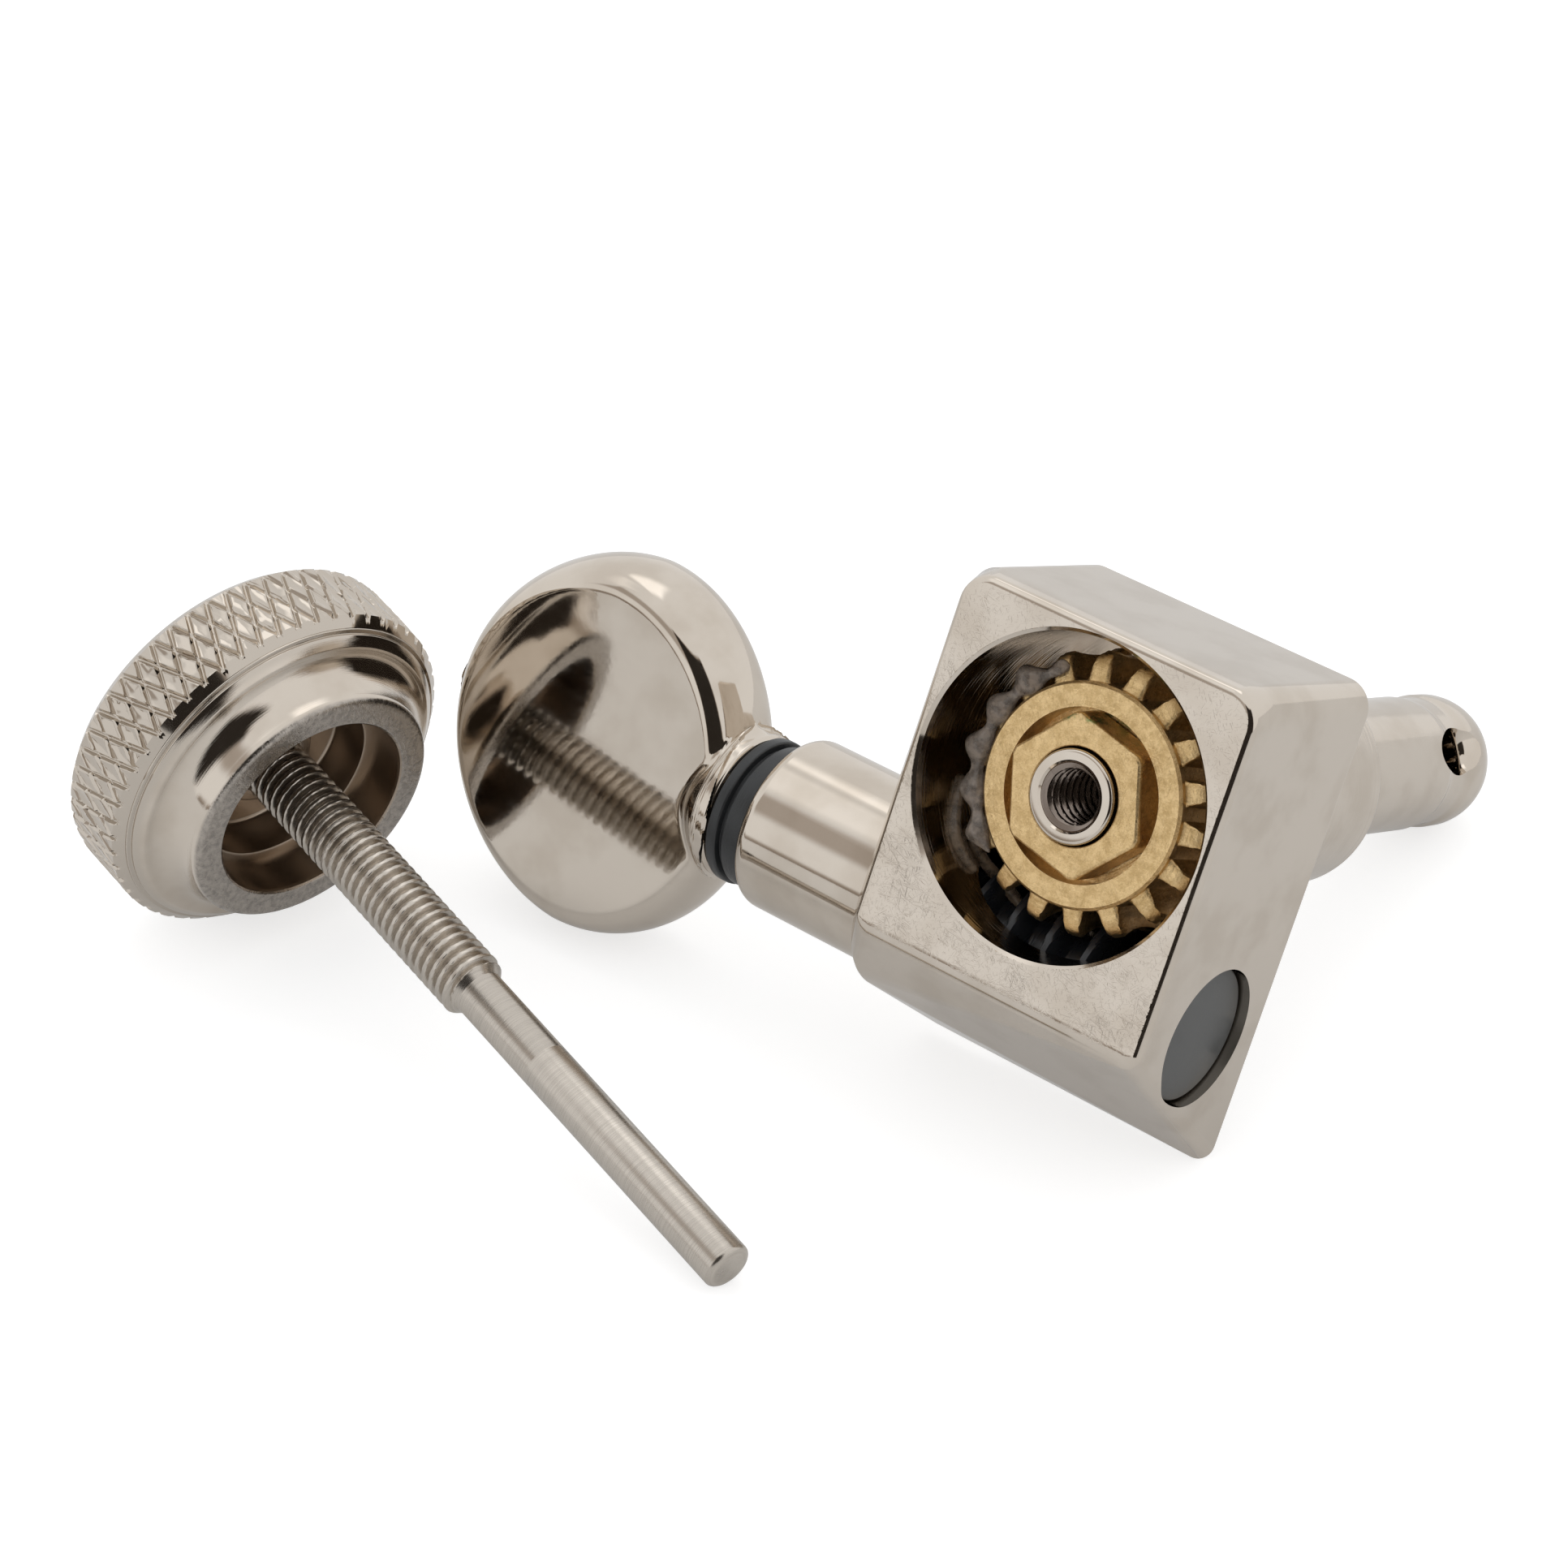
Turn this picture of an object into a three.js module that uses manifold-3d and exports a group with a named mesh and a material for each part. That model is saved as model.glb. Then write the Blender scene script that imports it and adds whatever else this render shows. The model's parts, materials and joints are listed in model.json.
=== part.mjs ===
// A rear-locking guitar tuning machine lying on a table, with its locking thumbscrew beside it.
// Millimetres, +Z up, the origin in the middle of the footprint.
// The tuner is built in a frame of its own: the origin in the middle of the gear pocket's mouth,
// X along the worm away from the button, Y away from the worm, Z out of the rear face.
// The thumbscrew is built with the tip of its pin at the origin and its axis along Z.

import * as THREE from 'three';
import { mergeVertices } from 'three/addons/utils/BufferGeometryUtils.js';
import { ConvexGeometry } from 'three/addons/geometries/ConvexGeometry.js';
import Module from 'manifold-3d';

const wasm = await Module();
wasm.setup();

// Clearances
const turning_gap = 0.1; // between a turning piece and the bore that carries it
const seat_gap = 0.08; // between pieces that touch on the real machine
const overrun = 0.5; // how far a cutter reaches past what it cuts

// Gear train
const tooth_count = 18;
const gear_tip_radius = 5.85;
const gear_throat_radius = 5.62;
const gear_root_radius = 4.62;
const gear_ring_radius = 4.5;
const gear_face_depth = 1.9; // the ring face below the rear face
const gear_ring_height = 0.35;
const gear_width = 4.8;
const gear_recess_radius = 3.58;
const gear_recess_depth = 1.25;
const worm_drop = 7.75; // from the post's axis to the worm's axis
const worm_depth = 5.2; // from the rear face to the worm's axis
const worm_crest_radius = 2.95;
const worm_clearance = 0.3; // between the wheel's tips and the worm's root
const worm_length = 9.2;
const gear_pitch_radius = 5.25;

// Housing
const housing_half_width = 7.2;
const wall_draft_depth = 1.5; // the walls lean out down to here, then run straight
const left_wall_draft = 0.35;
const left_foot_draft = 0.55;
const top_wall_draft = 0.12;
const housing_top = 7.13;
const housing_depth = 9.6;
const corner_radius = 1.4;
const wall_corner_radius = 1.25; // below the rear face
const foot_corner_radius = 0.85;
const edge_radius = 0.4;
const lower_edge_radius = 0.8;
const seat_edge_radius = 0.2;
const worm_wall = 0.3; // between the worm's bore and the slanted wall
const slanted_wall_degrees = 28.6;
const pocket_radius = 6.67;
const pocket_depth = 7.35;
const worm_bore_radius = 3.05;

// Neck, towards the button
const neck_radius = 3.87;
const neck_end_radius = 3.35;
const neck_length = 7.4;
const neck_round = 0.6;
const neck_boss_radius = 4.3;
const neck_boss_reach = 0.57; // past the wall
const neck_boss_round = 0.3;
const neck_rise = 0.22; // the casting's neck lies a little off the worm's axis
const neck_lip_depth = 1.6;

// Sleeve that fills the hole in the headstock
const sleeve_radius = 4.7;
const sleeve_length = 9.6;
const sleeve_thread_radius = 4;
const sleeve_thread_depth = 5.5;
const sleeve_edge = 0.3;

// Locating pins
const locating_pin_radius = 1.1;
const locating_pin_length = 2.6;
const locating_pin_root = 1.2;
const locating_pin_spread = 3.4;
const locating_pin_drop = 10.6;

// Worm's shaft, washers, bush and plug
const shaft_radius = 1.6;
const shaft_in_button = 6.5;
const shaft_flat = 0.35;
const journal_radius = 1.2;
const worm_shoulder_radius = 2.3;
const worm_shoulder_length = 0.5;
const thrust_washer_radius = 2.6;
const thrust_washer_thickness = 0.4;
const plug_thickness = 1.2;
const plug_recess = 0.45;
const bush_flange_radius = 3.2;
const bush_flange_thickness = 0.9;
const bush_body_radius = 2.5;
const button_washer_radius = 3.31;
const button_washer_thickness = 0.5;
const washer_groove = 0.25;

// Button
const button_half_length = 7.88;
const button_half_height = 8.56;
const button_drop = 0.17; // its middle below the shaft's line
const button_stem_half_thickness = 2.9;
const button_end_half_thickness = 1.35;
const button_egg_share = 0.06; // by which the oval narrows towards its outer end
const button_rim = 1.25;
const button_edge_round = 0.45;
const button_crown = 0.5; // how far a face's middle stands above its edge
const button_collar_radius = 3.3;
const button_collar_length = 0.95;
const button_turn_degrees = 8;

// String post
const post_radius = 3;
const post_seat_radius = 1.95;
const post_end_chamfer = 0.15;
const post_end_depth = 1.05; // the threaded end below the rear face
const post_tip_depth = 35.25;
const post_thread_length = 12;
const post_thread_bore_radius = 1.35;
const pin_bore_radius = 1.2;
const pin_bore_past_hole = 1.3;
const string_hole_radius = 1;
const string_hole_from_tip = 4.85;
const string_hole_degrees = 33;
const string_hole_flare = 0.95; // how far the flared mouth reaches past the hole along the post
const string_hole_flare_side = 0.25;
const string_hole_flare_depth = 0.75;
const string_groove_half_width = 1.3; // the waist round the post at the hole
const string_groove_floor = 0.8; // half the width of its floor
const string_groove_depth = 0.12;
const washer_radius = 5;
const washer_thickness = 0.4;

// Hexagon nut
const nut_face_depth = 1.35;
const nut_corner_radius = 3.38;
const nut_corner_cut = 0.1;
const nut_degrees = 48;
const nut_corner_spread_degrees = 2.5;

// Locking thumbscrew: places are measured from the tip of its pin
const pin_radius = 1.08;
const pin_tip_round = 0.35;
const thread_start = 17.3;
const thread_radius = 1.47;
const thread_chamfer = 0.5;
const hub_end = 29.7;
const hub_radius = 5.93;
const hub_bore_radius = 4.57;
const hub_bore_depth = 2.2;
const hub_inner_radius = 4.15;
const hub_inner_depth = 4.3;
const hub_rim_round = 0.25;
const boss_radius = 2.3;
const boss_height = 0.9;
const knurl_start = 32.2;
const knurl_end = 36.35;
const knurl_radius = 8.3;
const knurl_depth = 0.28;
const knurl_edge = 0.3;
const knurl_count = 54;
const shoulder_radius = 7.8;
const shoulder_height = 0.55;
const hub_fillet_height = 1.1;
const wheel_end_dish = 0.35;
const wheel_end_dish_radius = 6.2;
const spindle_end_wall = 0.6;

// Where the two lie, as the photograph shows them
const tuner_turn_x_degrees = 58.856;
const tuner_turn_y_degrees = -34.003;
const tuner_turn_z_degrees = -20.985;
const tuner_height = 16.83; // from the table to the middle of the pocket's mouth
const screw_offset_x = -12.93; // from the middle of the pocket's mouth to the tip of the pin
const screw_offset_y = -10.11;
const screw_tip_height = 1.055;
const screw_heading_degrees = 128.494;
const screw_rise_degrees = 12.469;

// Facets
const round_sides = 40;
const small_round_sides = 20;
const worm_sides = 18;
const ring_sides = 32;

const nickel = { color: 0xc9c1b8, roughness: 0.14, metalness: 1 };
const satin_steel = { color: 0xb9b3aa, roughness: 0.3, metalness: 1 };
const brass = { color: 0xc79f5c, roughness: 0.38, metalness: 1 };
const black_steel = { color: 0x202224, roughness: 0.4, metalness: 0.6 };
const black_plastic = { color: 0x2a2c2e, roughness: 0.45, metalness: 0 };
const grey_plastic = { color: 0x5c5c5a, roughness: 0.5, metalness: 0 };

// Solids

function tidy(geometry) {
  const bare = geometry.clone();
  bare.deleteAttribute('normal');
  bare.deleteAttribute('uv');
  const merged = mergeVertices(bare);
  const from = merged.getIndex().array;
  const place = new THREE.BufferAttribute(merged.getAttribute('position').array, 3);
  const corners = [0, 1, 2].map(() => new THREE.Vector3());
  const cross = new THREE.Vector3();
  let index = [];
  let volume = 0;
  for (let i = 0; i < from.length; i += 3) {
    const [a, b, c] = [from[i], from[i + 1], from[i + 2]];
    if (a === b || b === c || c === a) {
      continue;
    }
    index.push(a, b, c);
    corners[0].fromBufferAttribute(place, a);
    corners[1].fromBufferAttribute(place, b);
    corners[2].fromBufferAttribute(place, c);
    volume += corners[0].dot(cross.crossVectors(corners[1], corners[2]));
  }
  if (volume < 0) {
    index = index.reverse();
  }
  merged.setIndex(index);
  return merged;
}

function solid(geometry) {
  const closed = tidy(geometry);
  return new wasm.Manifold(
    new wasm.Mesh({
      numProp: 3,
      vertProperties: new Float32Array(closed.getAttribute('position').array),
      triVerts: new Uint32Array(closed.getIndex().array),
    }),
  );
}

function add(...pieces) {
  return pieces.map(solid_of).reduce((whole, piece) => whole.add(piece));
}

function cut(body, ...cutters) {
  return cutters.map(solid_of).reduce((whole, piece) => whole.subtract(piece), solid_of(body));
}

function solid_of(piece) {
  return piece.isBufferGeometry ? solid(piece) : piece;
}

function geometry_of(piece) {
  if (piece.isBufferGeometry) {
    return tidy(piece);
  }
  const { vertProperties, triVerts } = piece.getMesh();
  const geometry = new THREE.BufferGeometry();
  geometry.setAttribute('position', new THREE.BufferAttribute(new Float32Array(vertProperties), 3));
  geometry.setIndex(new THREE.BufferAttribute(new Uint32Array(triVerts), 1));
  return geometry;
}

function named(name, piece, look) {
  const mesh = new THREE.Mesh(geometry_of(piece), new THREE.MeshStandardMaterial(look));
  mesh.name = name;
  return mesh;
}

// A solid of revolution about Z from points of [radius, place along the axis].
function turned(points, sides = round_sides) {
  const outline = points.map(([radius, along]) => new THREE.Vector2(radius, along));
  return new THREE.LatheGeometry(outline, sides).rotateX(Math.PI / 2);
}

function rod(radius, from, to, sides = round_sides) {
  return turned([[0, from], [radius, from], [radius, to], [0, to]], sides);
}

function tube(outer, inner, from, to, sides = round_sides) {
  return turned([[inner, from], [outer, from], [outer, to], [inner, to], [inner, from]], sides);
}

// Points of a quarter round from one end to the other, bulging away from its centre.
function quarter(centre_radius, centre_along, radius, from_degrees, to_degrees, steps = 5) {
  return Array.from({ length: steps + 1 }, (_, i) => {
    const angle = THREE.MathUtils.degToRad(from_degrees + ((to_degrees - from_degrees) * i) / steps);
    return [centre_radius + radius * Math.cos(angle), centre_along + radius * Math.sin(angle)];
  });
}

// A closed skin over rings that all have the same number of points, with a flat fan at each end.
// With chequered set, neighbouring squares are split along opposite diagonals.
function stacked(rings, chequered = false) {
  const count = rings[0].length;
  const middles = [rings[0], rings[rings.length - 1]].map((ring) => {
    const sum = ring.reduce((total, point) => total.add(point), new THREE.Vector3());
    return sum.divideScalar(count);
  });
  const places = [...rings.flat(), ...middles].flatMap((point) => point.toArray());
  const index = [];
  const first = rings.length * count;
  const last = first + 1;
  const top = first - count;
  for (let i = 0; i < count; i += 1) {
    const next = (i + 1) % count;
    index.push(first, next, i, last, top + i, top + next);
    for (let ring = 0; ring < rings.length - 1; ring += 1) {
      const low = ring * count;
      const high = low + count;
      if (chequered && (i + ring) % 2 === 0) {
        index.push(low + i, low + next, high + i, low + next, high + next, high + i);
      } else {
        index.push(low + i, low + next, high + next, low + i, high + next, high + i);
      }
    }
  }
  const geometry = new THREE.BufferGeometry();
  geometry.setAttribute('position', new THREE.Float32BufferAttribute(places, 3));
  geometry.setIndex(index);
  return geometry;
}

function along_x(geometry) {
  return geometry.rotateY(Math.PI / 2);
}

// Moves a piece that is turned about X to the worm's line.
function on_worm_line(geometry, rise = 0) {
  return geometry.translate(0, rise - worm_drop, -worm_depth);
}

// Places along the worm, from the plug to the button

const plug_face = housing_half_width - plug_recess;
const plug_back = plug_face - plug_thickness;
const worm_end_washer_front = plug_back - seat_gap;
const worm_end_washer_back = worm_end_washer_front - thrust_washer_thickness;
const journal_end = worm_end_washer_front - seat_gap;
const worm_front = worm_end_washer_back - seat_gap;
const worm_back = worm_front - worm_length;
const worm_shoulder_back = worm_back - worm_shoulder_length;
const thrust_washer_back = worm_shoulder_back - seat_gap - thrust_washer_thickness;
const worm_bore_end = thrust_washer_back - seat_gap;
const neck_end = -housing_half_width - neck_length;
const bush_flange_front = neck_end - seat_gap;
const bush_flange_back = bush_flange_front - bush_flange_thickness;
const button_washer_front = bush_flange_back - washer_groove;
const button_washer_back = button_washer_front - button_washer_thickness;
const button_front = button_washer_back - seat_gap;
const button_middle = button_front - seat_gap / 2 - button_half_length;
const shaft_end = button_front - shaft_in_button;

// Housing

const slant = THREE.MathUtils.degToRad(slanted_wall_degrees);

// The slanted wall stands off the worm's bore; this is its place at a height above the worm.
function slanted_wall_at(depth) {
  const above_worm = worm_depth - depth;
  const stand_off = worm_bore_radius + worm_wall;
  return -worm_drop - (stand_off - above_worm * Math.sin(slant)) / Math.cos(slant);
}

// One rounded corner of the block: a quarter round in plan, rounded again towards the face.
function block_corner(side, end, wall_x, wall_y, radius, face, inward, edge_side, edge_end) {
  const points = [];
  const steps = 3;
  for (let level = 0; level <= steps; level += 1) {
    const lean = (Math.PI / 2) * (level / steps);
    const inset_side = edge_side * (1 - Math.cos(lean));
    const inset_end = edge_end * (1 - Math.cos(lean));
    const height = face + inward * edge_side * (1 - Math.sin(lean));
    for (let turn = 0; turn <= steps; turn += 1) {
      const angle = (Math.PI / 2) * (turn / steps);
      const x = wall_x - radius + (radius - inset_side) * Math.cos(angle);
      const y = wall_y - end * radius + end * (radius - inset_end) * Math.sin(angle);
      points.push(new THREE.Vector3(side * x, y, height));
    }
  }
  return points;
}

// The casting runs round the worm's bore at the end towards the neck.
function neck_boss_rim() {
  const end = housing_half_width + neck_boss_reach;
  const rim = [];
  for (const [radius, x] of [
    [neck_boss_radius, neck_boss_round - end],
    [neck_boss_radius - neck_boss_round / 3, neck_boss_round / 3 - end],
    [neck_boss_radius - neck_boss_round, -end],
  ]) {
    for (let i = 0; i < small_round_sides; i += 1) {
      const angle = (2 * Math.PI * i) / small_round_sides;
      const y = radius * Math.cos(angle) - worm_drop;
      rim.push(new THREE.Vector3(x, y, radius * Math.sin(angle) - worm_depth));
    }
  }
  return rim;
}

function housing_block() {
  const points = neck_boss_rim();
  const lower_wall = slanted_wall_at(edge_radius);
  const foot_wall = slanted_wall_at(housing_depth);
  const top_wall = housing_top + top_wall_draft;
  const foot = -housing_depth;
  for (const side of [-1, 1]) {
    const near_x = housing_half_width;
    const wall_x = near_x + (side < 0 ? left_wall_draft : 0);
    const foot_x = near_x + (side < 0 ? left_foot_draft : 0);
    const rear_edges = [edge_radius, edge_radius];
    const rear_low_edges = [edge_radius, lower_edge_radius];
    const seat_edges = [seat_edge_radius, seat_edge_radius];
    points.push(
      ...block_corner(side, 1, near_x, housing_top, corner_radius, 0, -1, ...rear_edges),
      ...block_corner(side, 1, wall_x, top_wall, wall_corner_radius, -wall_draft_depth, -1, 0, 0),
      ...block_corner(side, -1, near_x, lower_wall, foot_corner_radius, 0, -1, ...rear_low_edges),
      ...block_corner(side, 1, wall_x, top_wall, wall_corner_radius, foot, 1, ...seat_edges),
      ...block_corner(side, -1, foot_x, foot_wall, foot_corner_radius, foot, 1, ...seat_edges),
    );
  }
  return new ConvexGeometry(points);
}

function neck() {
  const root = -housing_half_width + overrun;
  const round_start = neck_end + neck_round;
  const rounding = quarter(0, 0, 1, 0, 90, 4).map(([across, along]) => [
    neck_end_radius + (neck_radius - neck_end_radius) * across,
    round_start - neck_round * along,
  ]);
  const outline = [[0, root], [neck_radius, root], ...rounding, [0, neck_end]];
  return on_worm_line(along_x(turned(outline)), neck_rise);
}

function sleeve() {
  const root = -housing_depth + sleeve_edge;
  const end = -housing_depth - sleeve_length;
  const edge = [[sleeve_radius, end + sleeve_edge], [sleeve_radius - sleeve_edge, end]];
  return turned([[0, root], [sleeve_radius, root], ...edge, [0, end]]);
}

function housing() {
  const body = add(housing_block(), neck(), sleeve());
  const sleeve_end = -housing_depth - sleeve_length;
  const pocket = rod(pocket_radius, overrun, -pocket_depth);
  const post_bore = rod(post_radius + turning_gap, -pocket_depth + overrun, sleeve_end - overrun);
  const front_thread = rod(sleeve_thread_radius, sleeve_end + sleeve_thread_depth, sleeve_end - overrun);
  const worm_bore = rod(worm_bore_radius, worm_bore_end, housing_half_width + overrun);
  const shaft_bore = rod(shaft_radius + turning_gap, neck_end - overrun, worm_bore_end + overrun);
  const bush_bore = rod(bush_body_radius + seat_gap, neck_end - overrun, neck_end + neck_lip_depth);
  const worm_cuts = [worm_bore, shaft_bore, bush_bore].map((cutter) => on_worm_line(along_x(cutter)));
  const pin_bores = [-1, 1].map((side) => locating_pin_bore(side));
  return cut(body, pocket, post_bore, front_thread, ...worm_cuts, ...pin_bores);
}

// The pins are pressed into blind holes in the mounting face.
function locating_pin_bore(side) {
  const top = -housing_depth + locating_pin_root + seat_gap;
  const end = -housing_depth - locating_pin_length - overrun;
  const bore = rod(locating_pin_radius + seat_gap, top, end, small_round_sides);
  return bore.translate(side * locating_pin_spread, -locating_pin_drop, 0);
}

function locating_pin(side) {
  const top = -housing_depth + locating_pin_root;
  const end = -housing_depth - locating_pin_length;
  const edge = [[locating_pin_radius, end + seat_edge_radius], [locating_pin_radius - seat_edge_radius, end]];
  const pin = turned([[0, top], [locating_pin_radius, top], ...edge, [0, end]], small_round_sides);
  return pin.translate(side * locating_pin_spread, -locating_pin_drop, 0);
}

// Worm and its shaft

const worm_lead = (2 * Math.PI * gear_pitch_radius) / tooth_count;
const worm_root_radius = worm_drop - gear_tip_radius - worm_clearance;
const thread_fade_share = 0.35; // of a turn, over which the thread runs out at each end
const thread_crest_share = 0.09; // of the lead, half the thread's crest
const thread_flank_share = 0.14; // of the lead, across one flank

function thread_radius_at(along, angle) {
  const turn = along / worm_lead - angle / (2 * Math.PI);
  const from_crest = Math.abs(turn - Math.round(turn));
  const down = THREE.MathUtils.clamp((from_crest - thread_crest_share) / thread_flank_share, 0, 1);
  const from_end = Math.min(along - worm_back, worm_front - along) / (worm_lead * thread_fade_share);
  const height = (worm_crest_radius - worm_root_radius) * THREE.MathUtils.clamp(from_end, 0, 1);
  return worm_root_radius + height * (1 - down);
}

function worm_shaft() {
  const sides = worm_sides;
  const ring = (along, radius_at) => Array.from({ length: sides }, (_, i) => {
    const angle = (2 * Math.PI * i) / sides;
    const radius = radius_at(along, angle);
    return new THREE.Vector3(along, radius * Math.cos(angle), radius * Math.sin(angle));
  });
  const plain = (along, radius) => ring(along, () => radius);
  const flatted = (along, angle) => {
    const reach = Math.abs(Math.cos(angle)) * shaft_radius;
    const limit = shaft_radius - shaft_flat;
    return reach > limit ? (limit / reach) * shaft_radius : shaft_radius;
  };
  const steps = Math.round((worm_length / worm_lead) * 8);
  const thread = Array.from({ length: steps + 1 }, (_, i) => {
    return ring(worm_back + (worm_length * i) / steps, thread_radius_at);
  });
  const skin = stacked([
    ring(shaft_end, flatted),
    ring(button_front, flatted),
    plain(button_front + seat_gap, shaft_radius),
    plain(worm_shoulder_back - seat_gap, shaft_radius),
    plain(worm_shoulder_back, worm_shoulder_radius),
    plain(worm_back - seat_gap, worm_shoulder_radius),
    ...thread,
    plain(worm_front + seat_gap, journal_radius),
    plain(journal_end, journal_radius),
  ]);
  return on_worm_line(skin);
}

function worm_washer() {
  const ring = tube(
    thrust_washer_radius,
    shaft_radius + turning_gap,
    thrust_washer_back,
    thrust_washer_back + thrust_washer_thickness,
    small_round_sides,
  );
  return on_worm_line(along_x(ring));
}

function worm_end_washer() {
  const ring = tube(
    thrust_washer_radius,
    journal_radius + turning_gap,
    worm_end_washer_back,
    worm_end_washer_front,
    small_round_sides,
  );
  return on_worm_line(along_x(ring));
}

function worm_plug() {
  const radius = worm_bore_radius - seat_gap;
  return on_worm_line(along_x(rod(radius, plug_back, plug_face, ring_sides)));
}

function neck_bush() {
  const inner = shaft_radius + turning_gap;
  const body_end = neck_end + neck_lip_depth - seat_gap;
  const outline = [
    [inner, bush_flange_back],
    [bush_flange_radius, bush_flange_back],
    [bush_flange_radius, bush_flange_front],
    [bush_body_radius, bush_flange_front],
    [bush_body_radius, body_end],
    [inner, body_end],
    [inner, bush_flange_back],
  ];
  return on_worm_line(along_x(turned(outline, ring_sides)));
}

function button_washer() {
  const inner = shaft_radius + turning_gap;
  const groove_radius = bush_flange_radius - washer_groove;
  const outline = [
    [inner, button_washer_back],
    [button_washer_radius, button_washer_back],
    [button_washer_radius, button_washer_front],
    [groove_radius, button_washer_front],
    [groove_radius, button_washer_front + washer_groove - seat_gap],
    [inner, button_washer_front + washer_groove - seat_gap],
    [inner, button_washer_back],
  ];
  return on_worm_line(along_x(turned(outline, ring_sides)));
}

// Button: an oval with two flat faces that draw together towards the outer end

function button_half_thickness(along) {
  const share = (along + button_half_length) / (2 * button_half_length);
  return THREE.MathUtils.lerp(button_end_half_thickness, button_stem_half_thickness, share);
}

// One ring of the button above or below its middle plane: a share of the faces' height, and a rise past it.
function button_ring(height_share, inset, rise) {
  return Array.from({ length: round_sides }, (_, i) => {
    const angle = (2 * Math.PI * i) / round_sides;
    const along = (button_half_length - inset) * Math.cos(angle);
    const egg = 1 - button_egg_share * Math.max(-Math.cos(angle), 0);
    const across = (button_half_height - inset) * egg * Math.sin(angle);
    return new THREE.Vector3(along, across, height_share * button_half_thickness(along) + rise);
  });
}

function button() {
  const rim_steps = 4;
  const edge_share = 0.12; // of the half thickness, over which the face rounds into the rim
  const side = [];
  for (let i = 0; i <= rim_steps; i += 1) {
    const height_share = (1 - edge_share) * (i / rim_steps);
    side.push([height_share, button_rim * (1 - Math.sqrt(1 - height_share * height_share)), 0]);
  }
  const rim_inset = side[rim_steps][1];
  side.push([1 - edge_share / 4, rim_inset + button_edge_round / 3, 0]);
  const edge = rim_inset + button_edge_round;
  const crown_steps = 4;
  for (let i = 0; i < crown_steps; i += 1) {
    const out = 1 - i / crown_steps;
    side.push([1, edge + (button_half_length - edge) * (i / crown_steps), button_crown * (1 - out * out)]);
  }
  const upper = side.map(([share, inset, rise]) => button_ring(share, inset, rise));
  const lower = side.slice(1).reverse().map(([share, inset, rise]) => button_ring(-share, inset, -rise));
  const body = stacked([...lower, ...upper]).translate(button_middle, -button_drop, 0);
  const flare = [
    [button_collar_radius, button_front],
    [button_collar_radius, button_front - button_collar_length / 2],
    [button_collar_radius - seat_gap, button_front - button_collar_length],
    [shaft_radius, button_front - 3 * button_collar_length],
  ];
  const collar = along_x(turned([[0, button_front], ...flare, [0, button_front - 3 * button_collar_length]]));
  const socket = along_x(rod(shaft_radius + seat_gap, shaft_end - seat_gap, button_front + overrun));
  return cut(add(body, collar), socket).rotate([button_turn_degrees, 0, 0])
    .translate([0, -worm_drop, -worm_depth]);
}

// Worm wheel

const gear_mid_depth = worm_depth;
const worm_lean = worm_lead / (2 * Math.PI * (worm_drop - gear_pitch_radius));

// Half a tooth's outline, as [share of the pitch from the tooth's middle, share of the tooth's height].
const tooth_shares = [[0.1, 1], [0.18, 0.75], [0.27, 0.15], [0.4, 0]];

function gear_ring(depth, tip_radius, root_radius) {
  const height = tip_radius - root_radius;
  const lean = ((gear_mid_depth - depth) * worm_lean) / gear_pitch_radius;
  const mirrored = tooth_shares.map(([turn, up]) => [-turn, up]).reverse();
  const points = [];
  for (let tooth = 0; tooth < tooth_count; tooth += 1) {
    for (const [turn, up] of [...mirrored, ...tooth_shares]) {
      const angle = -Math.PI / 2 + lean + (2 * Math.PI * (tooth + 0.5 + turn)) / tooth_count;
      const radius = root_radius + height * up;
      points.push(new THREE.Vector3(radius * Math.cos(angle), radius * Math.sin(angle), -depth));
    }
  }
  return points;
}

function worm_wheel() {
  const top = gear_face_depth;
  const teeth_top = top + gear_ring_height;
  const bottom = top + gear_width;
  const chamfer = gear_ring_height;
  const skin = stacked([
    gear_ring(top, gear_ring_radius, gear_ring_radius),
    gear_ring(teeth_top, gear_ring_radius, gear_ring_radius),
    gear_ring(teeth_top + seat_gap, gear_tip_radius - 2 * chamfer, gear_root_radius),
    gear_ring(teeth_top + 2 * chamfer, gear_tip_radius, gear_root_radius),
    gear_ring(gear_mid_depth, gear_throat_radius, gear_root_radius),
    gear_ring(bottom - chamfer, gear_tip_radius, gear_root_radius),
    gear_ring(bottom, gear_tip_radius - chamfer, gear_root_radius),
  ]);
  const recess = rod(gear_recess_radius, -top + overrun, -top - gear_recess_depth);
  const bore = rod(post_seat_radius + seat_gap, overrun, -bottom - overrun, small_round_sides);
  return cut(skin, recess, bore);
}

function gear_nut() {
  const seat = gear_face_depth + gear_recess_depth - seat_gap;
  const top = nut_face_depth;
  const hexagon = (radius, depth) => Array.from({ length: 12 }, (_, i) => {
    const corner = THREE.MathUtils.degToRad(nut_degrees + 60 * Math.floor(i / 2));
    const side = i % 2 === 0 ? -1 : 1;
    const off = THREE.MathUtils.degToRad(side * nut_corner_spread_degrees);
    const angle = corner + off;
    return new THREE.Vector3(radius * Math.cos(angle), radius * Math.sin(angle), -depth);
  });
  const skin = stacked([
    hexagon(nut_corner_radius - nut_corner_cut, top),
    hexagon(nut_corner_radius, top + nut_corner_cut),
    hexagon(nut_corner_radius, seat),
  ]);
  return cut(skin, rod(post_seat_radius + seat_gap, overrun, -seat - overrun, small_round_sides));
}

function post_washer() {
  const top = gear_face_depth + gear_width + seat_gap;
  return tube(washer_radius, post_radius + turning_gap, -top - washer_thickness, -top, ring_sides);
}

// String post

const post_shoulder_depth = gear_face_depth + gear_width + seat_gap;
const string_hole_depth = post_tip_depth - string_hole_from_tip;

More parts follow.
